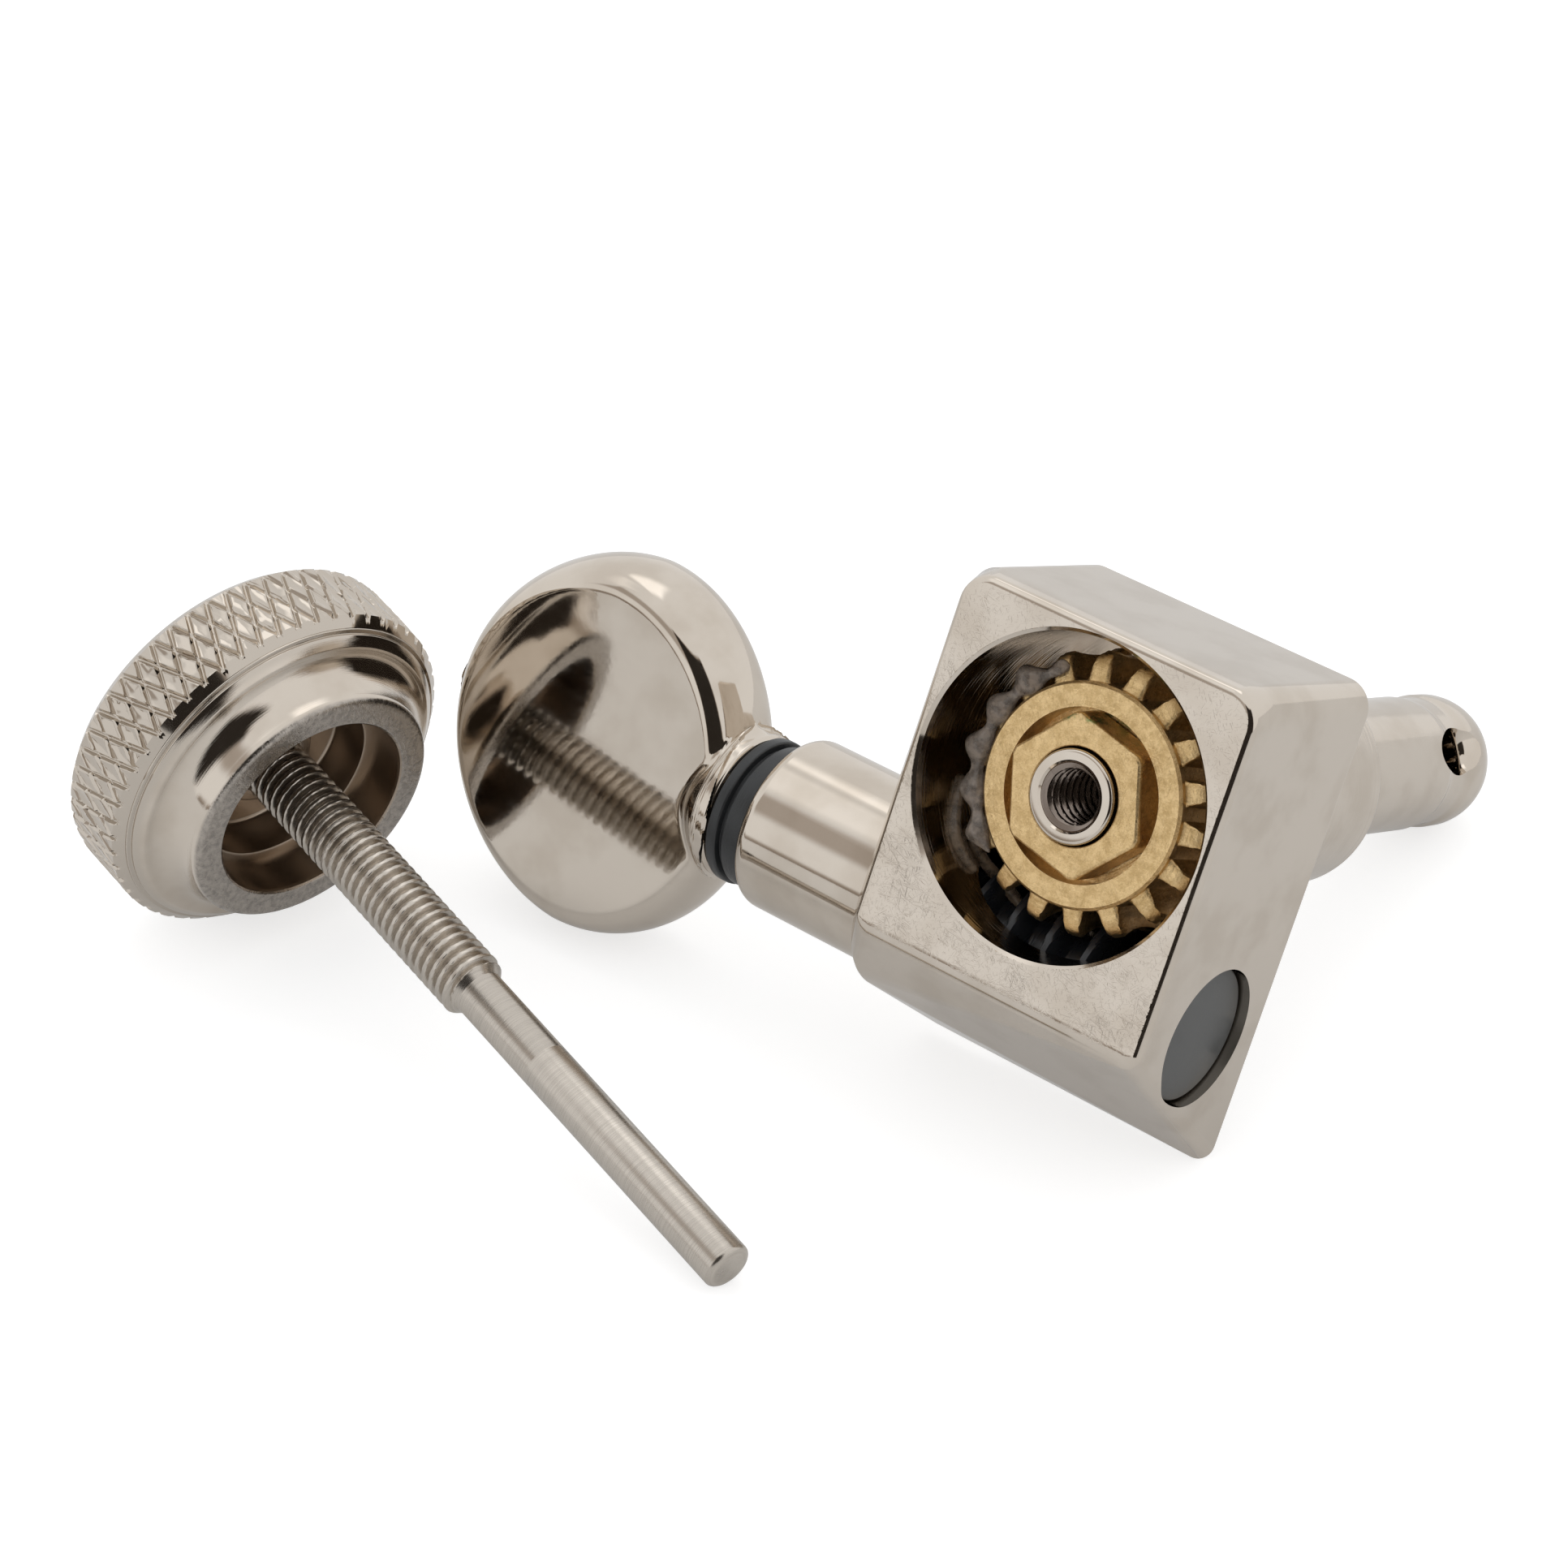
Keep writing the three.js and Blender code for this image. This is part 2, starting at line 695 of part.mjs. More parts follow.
function string_hole() {
  const outside = post_radius + overrun;
  const through = rod(string_hole_radius, -outside, outside, small_round_sides);
  const flares = [-1, 1].map((side) => {
    const inner = side * (post_radius - string_hole_flare_depth);
    const outer = side * outside;
    const grow = (outside - Math.abs(inner)) / string_hole_flare_depth;
    const ring = (place, along, across) => Array.from({ length: small_round_sides }, (_, i) => {
      const angle = (2 * Math.PI * i) / small_round_sides;
      const x = (string_hole_radius + along) * Math.cos(angle);
      const y = (string_hole_radius + across) * Math.sin(angle);
      return new THREE.Vector3(x, y, place);
    });
    const middle = (inner + side * post_radius) / 2;
    return stacked([
      ring(inner, 0, 0),
      ring(middle, string_hole_flare / 4, string_hole_flare_side / 4),
      ring(side * post_radius, string_hole_flare, string_hole_flare_side),
      ring(outer, string_hole_flare * grow, string_hole_flare_side * grow),
    ]);
  });
  const angle = THREE.MathUtils.degToRad(string_hole_degrees);
  return [through, ...flares].map((cutter) => {
    return cutter.rotateY(Math.PI / 2).rotateZ(angle).translate(0, 0, -string_hole_depth);
  });
}

function string_post() {
  const dome = quarter(0, -(post_tip_depth - post_radius), post_radius, 0, -90, 7);
  dome[dome.length - 1][0] = 0;
  const body = turned([
    [0, -post_end_depth],
    [post_seat_radius - post_end_chamfer, -post_end_depth],
    [post_seat_radius, -post_end_depth - post_end_chamfer],
    [post_seat_radius, -post_shoulder_depth],
    [post_radius, -post_shoulder_depth],
    [post_radius, -string_hole_depth + string_groove_half_width],
    [post_radius - string_groove_depth, -string_hole_depth + string_groove_floor],
    [post_radius - string_groove_depth, -string_hole_depth - string_groove_floor],
    [post_radius, -string_hole_depth - string_groove_half_width],
    ...dome,
  ]);
  const thread = rod(
    post_thread_bore_radius,
    -post_end_depth + overrun,
    -post_end_depth - post_thread_length,
    small_round_sides,
  );
  const pin_bore = rod(
    pin_bore_radius,
    -post_end_depth,
    -string_hole_depth - pin_bore_past_hole,
    small_round_sides,
  );
  return cut(body, thread, pin_bore, ...string_hole());
}

// Locking thumbscrew

function knurl_ring(along, radius_at) {
  const sides = 2 * knurl_count;
  return Array.from({ length: sides }, (_, i) => {
    const angle = (2 * Math.PI * i) / sides;
    const radius = radius_at(i);
    return new THREE.Vector3(radius * Math.cos(angle), radius * Math.sin(angle), along);
  });
}

function knurled_rim() {
  const rows = 4;
  const start = knurl_start + knurl_edge;
  const end = knurl_end - 2 * knurl_edge;
  const knurl = Array.from({ length: rows + 1 }, (_, row) => {
    const along = THREE.MathUtils.lerp(start, end, row / rows);
    return knurl_ring(along, (i) => knurl_radius - ((i + row) % 2) * knurl_depth);
  });
  const plain = (along, radius) => knurl_ring(along, () => radius);
  return stacked([
    plain(knurl_start, shoulder_radius),
    ...knurl,
    plain(knurl_end - knurl_edge, knurl_radius - knurl_depth),
    plain(knurl_end, knurl_radius - 2 * knurl_edge),
  ], true);
}

// The shoulder falls from the knurl in a cone and runs into the hub in a hollow curve.
function hub() {
  const rise = shoulder_radius - hub_radius;
  const foot = knurl_start - shoulder_height;
  const hollow = quarter(0, 0, 1, 90, 0).map(([across, along]) => [
    shoulder_radius - shoulder_height - (rise - shoulder_height) * across,
    foot - hub_fillet_height * (1 - along),
  ]);
  const rim = quarter(hub_radius - hub_rim_round, hub_end + hub_rim_round, hub_rim_round, 0, -90, 3);
  const inside = knurl_start + knurl_edge;
  return turned([
    [0, inside],
    [shoulder_radius, inside],
    [shoulder_radius, knurl_start - seat_gap],
    ...hollow,
    ...rim,
    [0, hub_end],
  ], 2 * small_round_sides);
}

function thumbwheel() {
  const floor = hub_end + hub_inner_depth;
  const bore = turned([
    [0, hub_end - overrun],
    [hub_bore_radius, hub_end - overrun],
    [hub_bore_radius, hub_end + hub_bore_depth],
    [hub_inner_radius, hub_end + hub_bore_depth + seat_gap],
    [hub_inner_radius, floor],
    [boss_radius, floor],
    [boss_radius - seat_gap, floor - boss_height],
    [0, floor - boss_height],
  ], 2 * small_round_sides);
  const spindle_bore = rod(
    thread_radius + seat_gap,
    hub_end - overrun,
    knurl_end - spindle_end_wall + seat_gap,
    small_round_sides,
  );
  const dish = turned([
    [0, knurl_end - wheel_end_dish],
    [wheel_end_dish_radius, knurl_end - wheel_end_dish],
    [wheel_end_dish_radius + wheel_end_dish, knurl_end + seat_gap],
    [0, knurl_end + seat_gap],
  ]);
  return cut(add(knurled_rim(), hub()), bore, spindle_bore, dish);
}

function locking_screw() {
  const rounding = quarter(pin_radius - pin_tip_round, pin_tip_round, pin_tip_round, -90, 0, 3);
  const end = knurl_end - spindle_end_wall;
  return turned([
    [0, 0],
    ...rounding,
    [pin_radius, thread_start],
    [thread_radius, thread_start + thread_chamfer],
    [thread_radius, end],
    [0, end],
  ], small_round_sides);
}

// Assembly

function tuner() {
  const group = new THREE.Group();
  group.add(named('housing', housing(), nickel));
  group.add(named('locating_pin_left', locating_pin(-1), satin_steel));
  group.add(named('locating_pin_right', locating_pin(1), satin_steel));
  group.add(named('worm_shaft', worm_shaft(), black_steel));
  group.add(named('worm_washer', worm_washer(), satin_steel));
  group.add(named('worm_end_washer', worm_end_washer(), satin_steel));
  group.add(named('worm_plug', worm_plug(), grey_plastic));
  group.add(named('neck_bush', neck_bush(), black_plastic));
  group.add(named('button_washer', button_washer(), black_plastic));
  group.add(named('button', button(), nickel));
  group.add(named('string_post', string_post(), nickel));
  group.add(named('post_washer', post_washer(), satin_steel));
  group.add(named('worm_wheel', worm_wheel(), brass));
  group.add(named('gear_nut', gear_nut(), brass));
  const turns = [tuner_turn_x_degrees, tuner_turn_y_degrees, tuner_turn_z_degrees];
  group.rotation.set(...turns.map(THREE.MathUtils.degToRad));
  group.position.set(0, 0, tuner_height);
  return group;
}

function thumbscrew() {
  const group = new THREE.Group();
  group.add(named('thumbwheel', thumbwheel(), nickel));
  group.add(named('locking_screw', locking_screw(), satin_steel));
  const heading = THREE.MathUtils.degToRad(screw_heading_degrees);
  const rise = THREE.MathUtils.degToRad(screw_rise_degrees);
  group.rotation.set(0, Math.PI / 2 - rise, heading, 'ZYX');
  group.position.set(screw_offset_x, screw_offset_y, screw_tip_height);
  return group;
}

// Moves the whole so that its footprint is centred and its lowest point is on the table.
function settled(...groups) {
  const whole = new THREE.Group();
  whole.add(...groups);
  whole.updateMatrixWorld(true);
  const box = new THREE.Box3().setFromObject(whole, true);
  const middle = box.getCenter(new THREE.Vector3());
  for (const group of groups) {
    group.position.sub(new THREE.Vector3(middle.x, middle.y, box.min.z));
  }
  whole.updateMatrixWorld(true);
  return whole;
}

export default settled(tuner(), thumbscrew());
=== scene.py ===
import json
import math

import bmesh
import bpy
import numpy as np
from mathutils import Matrix, Vector, noise


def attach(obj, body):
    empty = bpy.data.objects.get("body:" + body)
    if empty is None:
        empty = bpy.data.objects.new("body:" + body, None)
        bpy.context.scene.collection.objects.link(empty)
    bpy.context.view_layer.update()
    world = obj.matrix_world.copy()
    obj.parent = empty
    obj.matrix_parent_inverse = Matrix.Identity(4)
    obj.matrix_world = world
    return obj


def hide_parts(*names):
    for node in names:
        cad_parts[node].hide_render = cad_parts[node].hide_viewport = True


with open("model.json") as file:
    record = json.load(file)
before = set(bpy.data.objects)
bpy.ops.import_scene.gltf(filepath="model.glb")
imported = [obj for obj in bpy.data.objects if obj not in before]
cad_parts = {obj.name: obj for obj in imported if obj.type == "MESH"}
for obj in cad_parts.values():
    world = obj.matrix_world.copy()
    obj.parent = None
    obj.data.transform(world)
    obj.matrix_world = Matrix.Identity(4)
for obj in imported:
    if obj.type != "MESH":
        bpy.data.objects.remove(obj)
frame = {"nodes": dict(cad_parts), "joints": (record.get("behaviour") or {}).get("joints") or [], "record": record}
bpy.context.view_layer.update()

MM = 0.001
JOINTS = {joint["name"]: joint for joint in frame["joints"]}

# Places of the two halves of the object, taken from its joints

CASE_DEPTH = 9.6  # mm from the rear face to the mounting face, where the post's joint stands
WORM_DROP = 7.75
WORM_DEPTH = 5.2
SCREW_JOINT = 33  # mm from the pin's tip to the thumbscrew's joint


def placed(origin, z_axis, x_axis):
    """The matrix of a local frame in metres."""
    z_axis = Vector(z_axis).normalized()
    x_axis = Vector(x_axis)
    x_axis = (x_axis - z_axis * x_axis.dot(z_axis)).normalized()
    y_axis = z_axis.cross(x_axis)
    matrix = Matrix((x_axis, y_axis, z_axis)).transposed().to_4x4()
    matrix.translation = origin
    return matrix


post_axis = Vector(JOINTS["post_turn"]["axis"])
worm_axis = Vector(JOINTS["button_turn"]["axis"])
post_foot = Vector(JOINTS["post_turn"]["pos_m"])
TUNER = placed(post_foot + post_axis * CASE_DEPTH * MM, post_axis, worm_axis)
WORM_LINE = TUNER @ Matrix.Translation((0, -WORM_DROP * MM, -WORM_DEPTH * MM))
WORM = WORM_LINE @ Matrix.Rotation(math.pi / 2, 4, "Y")  # its z points along the worm to the plug
screw_axis = Vector(JOINTS["thumbscrew_turn"]["axis"])
screw_middle = Vector(JOINTS["thumbscrew_turn"]["pos_m"])
SCREW = placed(screw_middle - screw_axis * SCREW_JOINT * MM, screw_axis, (0, 0, 1))


def home(name, body, local):
    """An empty at a local frame that rides on a body, from which the materials take their places."""
    made = bpy.data.objects.new(name, None)
    bpy.context.scene.collection.objects.link(made)
    made.matrix_world = local
    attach(made, body)
    return made


CASE_HOME = home("case_home", "case", TUNER)
NECK_HOME = home("neck_home", "case", WORM)
POST_HOME = home("post_home", "post", TUNER)
BUTTON_HOME = home("button_home", "button", WORM)
SCREW_HOME = home("screw_home", "thumbscrew", SCREW)


# Node trees


class Nodes:
    """A material's tree, with short calls for the nodes used here."""

    def __init__(self, tree):
        self.tree = tree
        tree.nodes.clear()

    def add(self, kind, settings=None, **inputs):
        node = self.tree.nodes.new(kind)
        for name, value in (settings or {}).items():
            setattr(node, name, value)
        for name, value in inputs.items():
            self.put(node, name.replace("_", " "), value)
        return node

    def put(self, node, name, value):
        socket = node.inputs[int(name)] if name.isdigit() else node.inputs[name]
        if isinstance(value, bpy.types.NodeSocket):
            self.tree.links.new(value, socket)
        else:
            socket.default_value = value

    def math(self, operation, *values, clamp=False):
        node = self.add("ShaderNodeMath", {"operation": operation, "use_clamp": clamp})
        for i, value in enumerate(values):
            self.put(node, str(i), value)
        return node.outputs[0]

    def span(self, value, low, high, to_low=0.0, to_high=1.0, smooth=True):
        kind = "SMOOTHSTEP" if smooth else "LINEAR"
        node = self.add("ShaderNodeMapRange", {"interpolation_type": kind})
        for i, v in enumerate((value, low, high, to_low, to_high)):
            self.put(node, str(i), v)
        return node.outputs[0]

    def noise(self, place, scale, detail=2.0, roughness=0.5):
        node = self.add("ShaderNodeTexNoise", Vector=place, Scale=scale, Detail=detail, Roughness=roughness)
        return node.outputs[0]

    def mix(self, share, a, b):
        node = self.add("ShaderNodeMix", {"data_type": "RGBA"})
        self.put(node, "0", share)
        for index, value in ((6, a), (7, b)):
            value = (*value, 1) if isinstance(value, tuple) and len(value) == 3 else value
            self.put(node, str(index), value)
        return node.outputs[2]

    def mixed(self, share, a, b):
        node = self.add("ShaderNodeMix", {"data_type": "FLOAT"})
        for index, value in ((0, share), (2, a), (3, b)):
            self.put(node, str(index), value)
        return node.outputs[0]

    def stretched(self, place, scale, turn=(0, 0, 0)):
        node = self.add("ShaderNodeMapping", Vector=place)
        node.inputs["Scale"].default_value = scale
        node.inputs["Rotation"].default_value = turn
        return node.outputs[0]

    def parts(self, place):
        node = self.add("ShaderNodeSeparateXYZ", Vector=place)
        return node.outputs

    def polar(self, place):
        """Radius and angle about the local z axis, and the height along it."""
        x, y, z = self.parts(place)
        radius = self.math("SQRT", self.math("ADD", self.math("MULTIPLY", x, x), self.math("MULTIPLY", y, y)))
        return radius, self.math("ARCTAN2", y, x), z

    def scratches(self, place, scale, turns, sharp=(0.6, 0.72)):
        """Short fine strokes in several directions, from 0 to 1."""
        total = None
        for turn in turns:
            along = self.add("ShaderNodeMapping", {"vector_type": "TEXTURE"}, Vector=place)
            along.inputs["Scale"].default_value = (1.0, 1 / 11, 1 / 4)
            along.inputs["Rotation"].default_value = (0.1, 0.1, turn)
            strokes = self.noise(along.outputs[0], scale, 1.5, 0.4)
            stroke = self.span(strokes, *sharp)
            total = stroke if total is None else self.math("MAXIMUM", total, stroke)
        return total

    def bump(self, height, distance, normal=None):
        node = self.add("ShaderNodeBump", Height=height, Distance=distance, Strength=1.0)
        if normal is not None:
            self.put(node, "Normal", normal)
        return node.outputs[0]


def material(name, at=None):
    """A new material, its tree, its shader and the place in millimetres from a home."""
    made = bpy.data.materials.new(name)
    made.use_nodes = True
    nodes = Nodes(made.node_tree)
    shader = nodes.add("ShaderNodeBsdfPrincipled")
    output = nodes.add("ShaderNodeOutputMaterial")
    nodes.tree.links.new(shader.outputs[0], output.inputs["Surface"])
    place = nodes.add("ShaderNodeTexCoord", {"object": at}).outputs["Object"]
    millimetres = nodes.add("ShaderNodeVectorMath", {"operation": "SCALE"})
    nodes.put(millimetres, "0", place)
    millimetres.inputs["Scale"].default_value = 1 / MM
    return made, nodes, shader, millimetres.outputs[0]


NICKEL = (0.66, 0.595, 0.52)
NICKEL_DULL = (0.59, 0.523, 0.447)
BRASS = (0.86, 0.63, 0.33)
BRASS_DULL = (0.62, 0.43, 0.2)


def polished_nickel(name, at, roughness=0.055, ripple=0.35):
    """The parts of a nickel look with a faint haze, smears and ripple, for others to build on."""
    made, nodes, shader, place = material(name, at)
    shader.inputs["Metallic"].default_value = 1
    haze = nodes.noise(place, 0.35, 3)
    tone = nodes.mix(nodes.span(haze, 0.4, 0.7), NICKEL, NICKEL_DULL)
    smear = nodes.noise(nodes.stretched(place, (0.3, 1.6, 0.5), (0.4, 0.2, 0.9)), 1.2, 4, 0.6)
    rough = nodes.span(smear, 0.3, 0.8, roughness, roughness + 0.06, False)
    peel = nodes.noise(place, 2.2, 2)
    relief = nodes.bump(peel, 0.0012 * MM * ripple)
    return made, nodes, shader, place, tone, rough, relief


def finished(made, nodes, shader, tone, rough, relief):
    nodes.put(shader, "Base Color", tone)
    nodes.put(shader, "Roughness", rough)
    nodes.put(shader, "Normal", relief)
    return made


def plain_nickel(name, at, roughness=0.055, ripple=0.35):
    made, nodes, shader, place, tone, rough, relief = polished_nickel(name, at, roughness, ripple)
    return finished(made, nodes, shader, tone, rough, relief)


def case_nickel(name, at):
    """Plated casting: its rear face is lapped, with strokes that thicken towards the worm and the neck."""
    made, nodes, shader, place, tone, rough, relief = polished_nickel(name, at, 0.05)
    x, y, z = nodes.parts(place)
    radius = nodes.polar(place)[0]
    rear = nodes.span(z, -0.02, -0.004)
    low = nodes.math("ADD", nodes.span(y, -3.0, -8.0), nodes.span(x, -3.0, -7.0), clamp=True)
    patches = nodes.span(nodes.noise(place, 0.5, 3, 0.6), 0.42, 0.62)
    worn = nodes.math("MULTIPLY", nodes.mixed(low, nodes.math("MULTIPLY", patches, 0.25), patches), rear)
    strokes = nodes.scratches(place, 0.9, (0.2, 0.9, 1.7, 2.4, 2.9), (0.6, 0.68))
    lapped = nodes.math("MULTIPLY", strokes, worn)
    fine = nodes.scratches(place, 2.6, (0.5, 1.3, 2.2), (0.66, 0.74))
    lapped = nodes.math("MAXIMUM", lapped, nodes.math("MULTIPLY", nodes.math("MULTIPLY", fine, rear), 0.35))
    rough = nodes.math("ADD", rough, nodes.math("MULTIPLY", nodes.math("ADD", lapped, worn), 0.09))
    tool = nodes.add("ShaderNodeTexNoise", {"noise_dimensions": "1D"}, Scale=6.0, Detail=3.0)
    nodes.put(tool, "W", z)
    inside = nodes.math("MULTIPLY", nodes.span(z, -0.2, -0.6), nodes.span(radius, 6.9, 6.75))
    cut = nodes.math("MULTIPLY", tool.outputs[0], inside)
    relief = nodes.bump(lapped, 0.008 * MM, relief)
    relief = nodes.bump(cut, 0.012 * MM, relief)
    return finished(made, nodes, shader, tone, rough, relief)


def wheel_nickel(name, at):
    """Plated thumbwheel: fine turning lines in the hub's hollow, a worn front ring, a dull brown bore, and painted
    shade on the rim and the knurl.
    """
    made, nodes, shader, place, tone, rough, relief = polished_nickel(name, at, 0.045)
    radius, _, along = nodes.polar(place)
    front = nodes.math("MULTIPLY", nodes.span(along, 29.98, 29.8), nodes.span(radius, 6.1, 5.98))
    bore = nodes.span(radius, 4.66, 4.6)
    nicks = nodes.noise(place, 3.2, 4, 0.7)
    worn = nodes.mix(nodes.span(nicks, 0.35, 0.7), (0.46, 0.42, 0.375), (0.3, 0.275, 0.25))
    tone = nodes.mix(front, tone, worn)
    tone = nodes.mix(bore, tone, (0.42, 0.345, 0.275))
    # Painted shade: from a radius of 7.3 mm out, the rim and the knurl are darkened to 0.86 of the nickel's
    # colour.
    tone = nodes.mix(nodes.span(radius, 7.3, 7.6), tone, tuple(0.86 * c for c in NICKEL))
    rough = nodes.mixed(front, rough, nodes.span(nicks, 0.35, 0.6, 0.16, 0.3, False))
    rough = nodes.mixed(bore, rough, 0.24)
    settings = {"noise_dimensions": "1D"}
    lines = nodes.add("ShaderNodeTexNoise", settings, Scale=11.0, Detail=4.0, Roughness=0.7)
    nodes.put(lines, "W", nodes.math("ADD", radius, along))
    hollow = nodes.span(radius, 7.7, 7.5)
    relief = nodes.bump(nodes.math("MULTIPLY", lines.outputs[0], hollow), 0.0035 * MM, relief)
    relief = nodes.bump(nodes.math("MULTIPLY", nicks, front), 0.035 * MM, relief)
    return finished(made, nodes, shader, tone, rough, relief)


def turned_steel(name, at, colour=(0.6, 0.55, 0.49), roughness=0.22):
    made, nodes, shader, place = material(name, at)
    shader.inputs["Metallic"].default_value = 1
    lines = nodes.noise(nodes.stretched(place, (0.15, 0.15, 9)), 3, 4, 0.7)
    tone = nodes.mix(nodes.span(lines, 0.3, 0.75), colour, tuple(0.8 * c for c in colour))
    rough = nodes.span(lines, 0.2, 0.8, roughness - 0.05, roughness + 0.1, False)
    return finished(made, nodes, shader, tone, rough, nodes.bump(lines, 0.004 * MM))


def machined_brass(name, at):
    """Brass with turning rings, small scratches and the stain of old grease."""
    made, nodes, shader, place = material(name, at)
    shader.inputs["Metallic"].default_value = 1
    radius, angle, _ = nodes.polar(place)
    stain = nodes.noise(place, 1.6, 6, 0.7)
    grain = nodes.noise(place, 14, 3, 0.6)
    mixed = nodes.math("ADD", nodes.math("MULTIPLY", stain, 0.7), nodes.math("MULTIPLY", grain, 0.3))
    tone = nodes.mix(nodes.span(mixed, 0.38, 0.62), BRASS, BRASS_DULL)
    ring = nodes.math("MULTIPLY", nodes.span(radius, 3.45, 3.2), nodes.span(radius, 3.0, 3.15))
    turned = nodes.math("MULTIPLY", nodes.span(angle, 0.9, 1.3), nodes.span(angle, 2.8, 2.4))
    green = nodes.math("MULTIPLY", nodes.math("MULTIPLY", ring, turned), nodes.span(stain, 0.45, 0.6))
    tone = nodes.mix(green, tone, (0.22, 0.3, 0.12))
    rings = nodes.add("ShaderNodeTexNoise", {"noise_dimensions": "1D"}, Scale=5.0, Detail=4.0)
    nodes.put(rings, "W", nodes.math("ADD", radius, nodes.math("MULTIPLY", nodes.noise(place, 0.4, 1), 0.8)))
    strokes = nodes.scratches(place, 1.3, (0.1, 0.8, 1.5, 2.3), (0.58, 0.7))
    pits = nodes.noise(place, 7, 5, 0.7)
    pitted = nodes.math("MULTIPLY", pits, 0.7)
    relief = nodes.math("ADD", nodes.math("MULTIPLY", rings.outputs[0], 0.9), pitted)
    relief = nodes.math("SUBTRACT", relief, nodes.math("MULTIPLY", strokes, 0.25))
    rough = nodes.span(pits, 0.3, 0.7, 0.24, 0.42, False)
    return finished(made, nodes, shader, tone, rough, nodes.bump(relief, 0.02 * MM))


def moulded_black(name, at, colour=(0.012, 0.013, 0.014), roughness=0.36):
    made, nodes, shader, place = material(name, at)
    rings = nodes.noise(nodes.stretched(place, (0.4, 0.4, 6)), 2.5, 3)
    tone = nodes.mix(rings, colour, tuple(2.2 * c for c in colour))
    rough = nodes.span(rings, 0.3, 0.7, roughness - 0.06, roughness + 0.1, False)
    return finished(made, nodes, shader, tone, rough, nodes.bump(rings, 0.01 * MM))


# Meshes

ON_AXIS = 1e-6  # mm, below which a radius counts as none
WELD, FINE_WELD = 1e-4, 1e-5  # mm, below which corners count as one


def piece(name, body, local, mesh, look, stands_for=(), sharp=30.0):
    """An object of the mesh, given in millimetres in a local frame, that rides on a body."""
    for vertex in mesh.verts:
        vertex.co *= MM
    mesh.transform(local)
    bmesh.ops.recalc_face_normals(mesh, faces=mesh.faces)
    data = bpy.data.meshes.new(name)
    mesh.to_mesh(data)
    mesh.free()
    data.materials.append(look)
    made = bpy.data.objects.new(name, data)
    bpy.context.scene.collection.objects.link(made)
    data.set_sharp_from_angle(angle=math.radians(sharp))
    for polygon in data.polygons:
        polygon.use_smooth = True
    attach(made, body)
    if stands_for:
        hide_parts(*stands_for)
    return made


def rounded_edges(made, width, angle=30.0, segments=2):
    """Rounds the edges of a piece, and lets the large faces keep their own normals."""
    bevel = made.modifiers.new("round", "BEVEL")
    bevel.width = width * MM
    bevel.segments = segments
    bevel.limit_method = "ANGLE"
    bevel.angle_limit = math.radians(angle)
    bevel.harden_normals = False
    bevel.use_clamp_overlap = True
    weighted = made.modifiers.new("weighted", "WEIGHTED_NORMAL")
    weighted.keep_sharp = True
    weighted.weight = 100
    return made


def grid(rows, caps=True):
    """A skin over rings of points, with a fan over the first and the last ring."""
    mesh = bmesh.new()
    made = [[mesh.verts.new(p) for p in row] for row in rows]
    count = len(rows[0])
    for first, second in zip(made, made[1:]):
        for i in range(count):
            j = (i + 1) % count
            mesh.faces.new((first[i], first[j], second[j], second[i]))
    for row in (made[0], made[-1]) if caps else ():
        middle = mesh.verts.new(sum((v.co for v in row), Vector()) / count)
        for i in range(count):
            mesh.faces.new((row[i], row[(i + 1) % count], middle))
    return mesh


def shaped_ring(radius_at, along, sides=60):
    """A ring of points round the z axis, whose radius follows from the height and the angle."""
    turn = (2 * math.pi * i / sides for i in range(sides))
    return [(radius_at(along, a) * math.cos(a), radius_at(along, a) * math.sin(a), along) for a in turn]


def plain_ring(radius, along, sides=60):
    return shaped_ring(lambda *_: radius, along, sides)


def rounded(points, steps=4):
    """An outline of (radius, along, rounding) points as plain points, with each corner rounded off."""
    out = []
    count = len(points)
    for i, point in enumerate(points):
        corner = Vector(point[:2])
        size = point[2] if len(point) > 2 else 0
        if not size:
            out.append(tuple(corner))
            continue
        before = (Vector(points[i - 1][:2]) - corner).normalized()
        after = (Vector(points[(i + 1) % count][:2]) - corner).normalized()
        half = before.angle(after) / 2
        reach = size / math.tan(half)
        middle = corner + (before + after).normalized() * size / math.sin(half)
        start, end = corner + before * reach, corner + after * reach
        for k in range(steps + 1):
            spoke = (start - middle).slerp(end - middle, k / steps, (start - middle))
            out.append(tuple(middle + spoke.normalized() * size))
    return out


def lathe(outline, sides=96):
    """A closed body of revolution; points on the axis close it, or the outline closes on itself."""
    points = rounded(outline)
    starts_on_axis = points[0][0] < ON_AXIS
    mesh = bmesh.new()
    rings = []
    for radius, along in points:
        ring = [(0, 0, along)] if radius < ON_AXIS else plain_ring(radius, along, sides)
        rings.append([mesh.verts.new(place) for place in ring])
    pairs = list(zip(rings, rings[1:]))
    if not starts_on_axis:
        pairs.append((rings[-1], rings[0]))
    for first, second in pairs:
        for i in range(sides):
            j = (i + 1) % sides
            places = ((first, i), (first, j), (second, j), (second, i))
            corners = list(dict.fromkeys(ring[k % len(ring)] for ring, k in places))
            if len(corners) > 2:
                mesh.faces.new(corners)
    return mesh


def plain_hole(radius, start, end, sides=96):
    """A cylinder on the z axis, for cutting."""
    return lathe([(0, start), (radius, start), (radius, end), (0, end)], sides)


def joined(*meshes):
    """One mesh of several closed ones."""
    whole = bmesh.new()
    for mesh in meshes:
        data = bpy.data.meshes.new("part")
        mesh.to_mesh(data)
        mesh.free()
        whole.from_mesh(data)
        bpy.data.meshes.remove(data)
    return whole


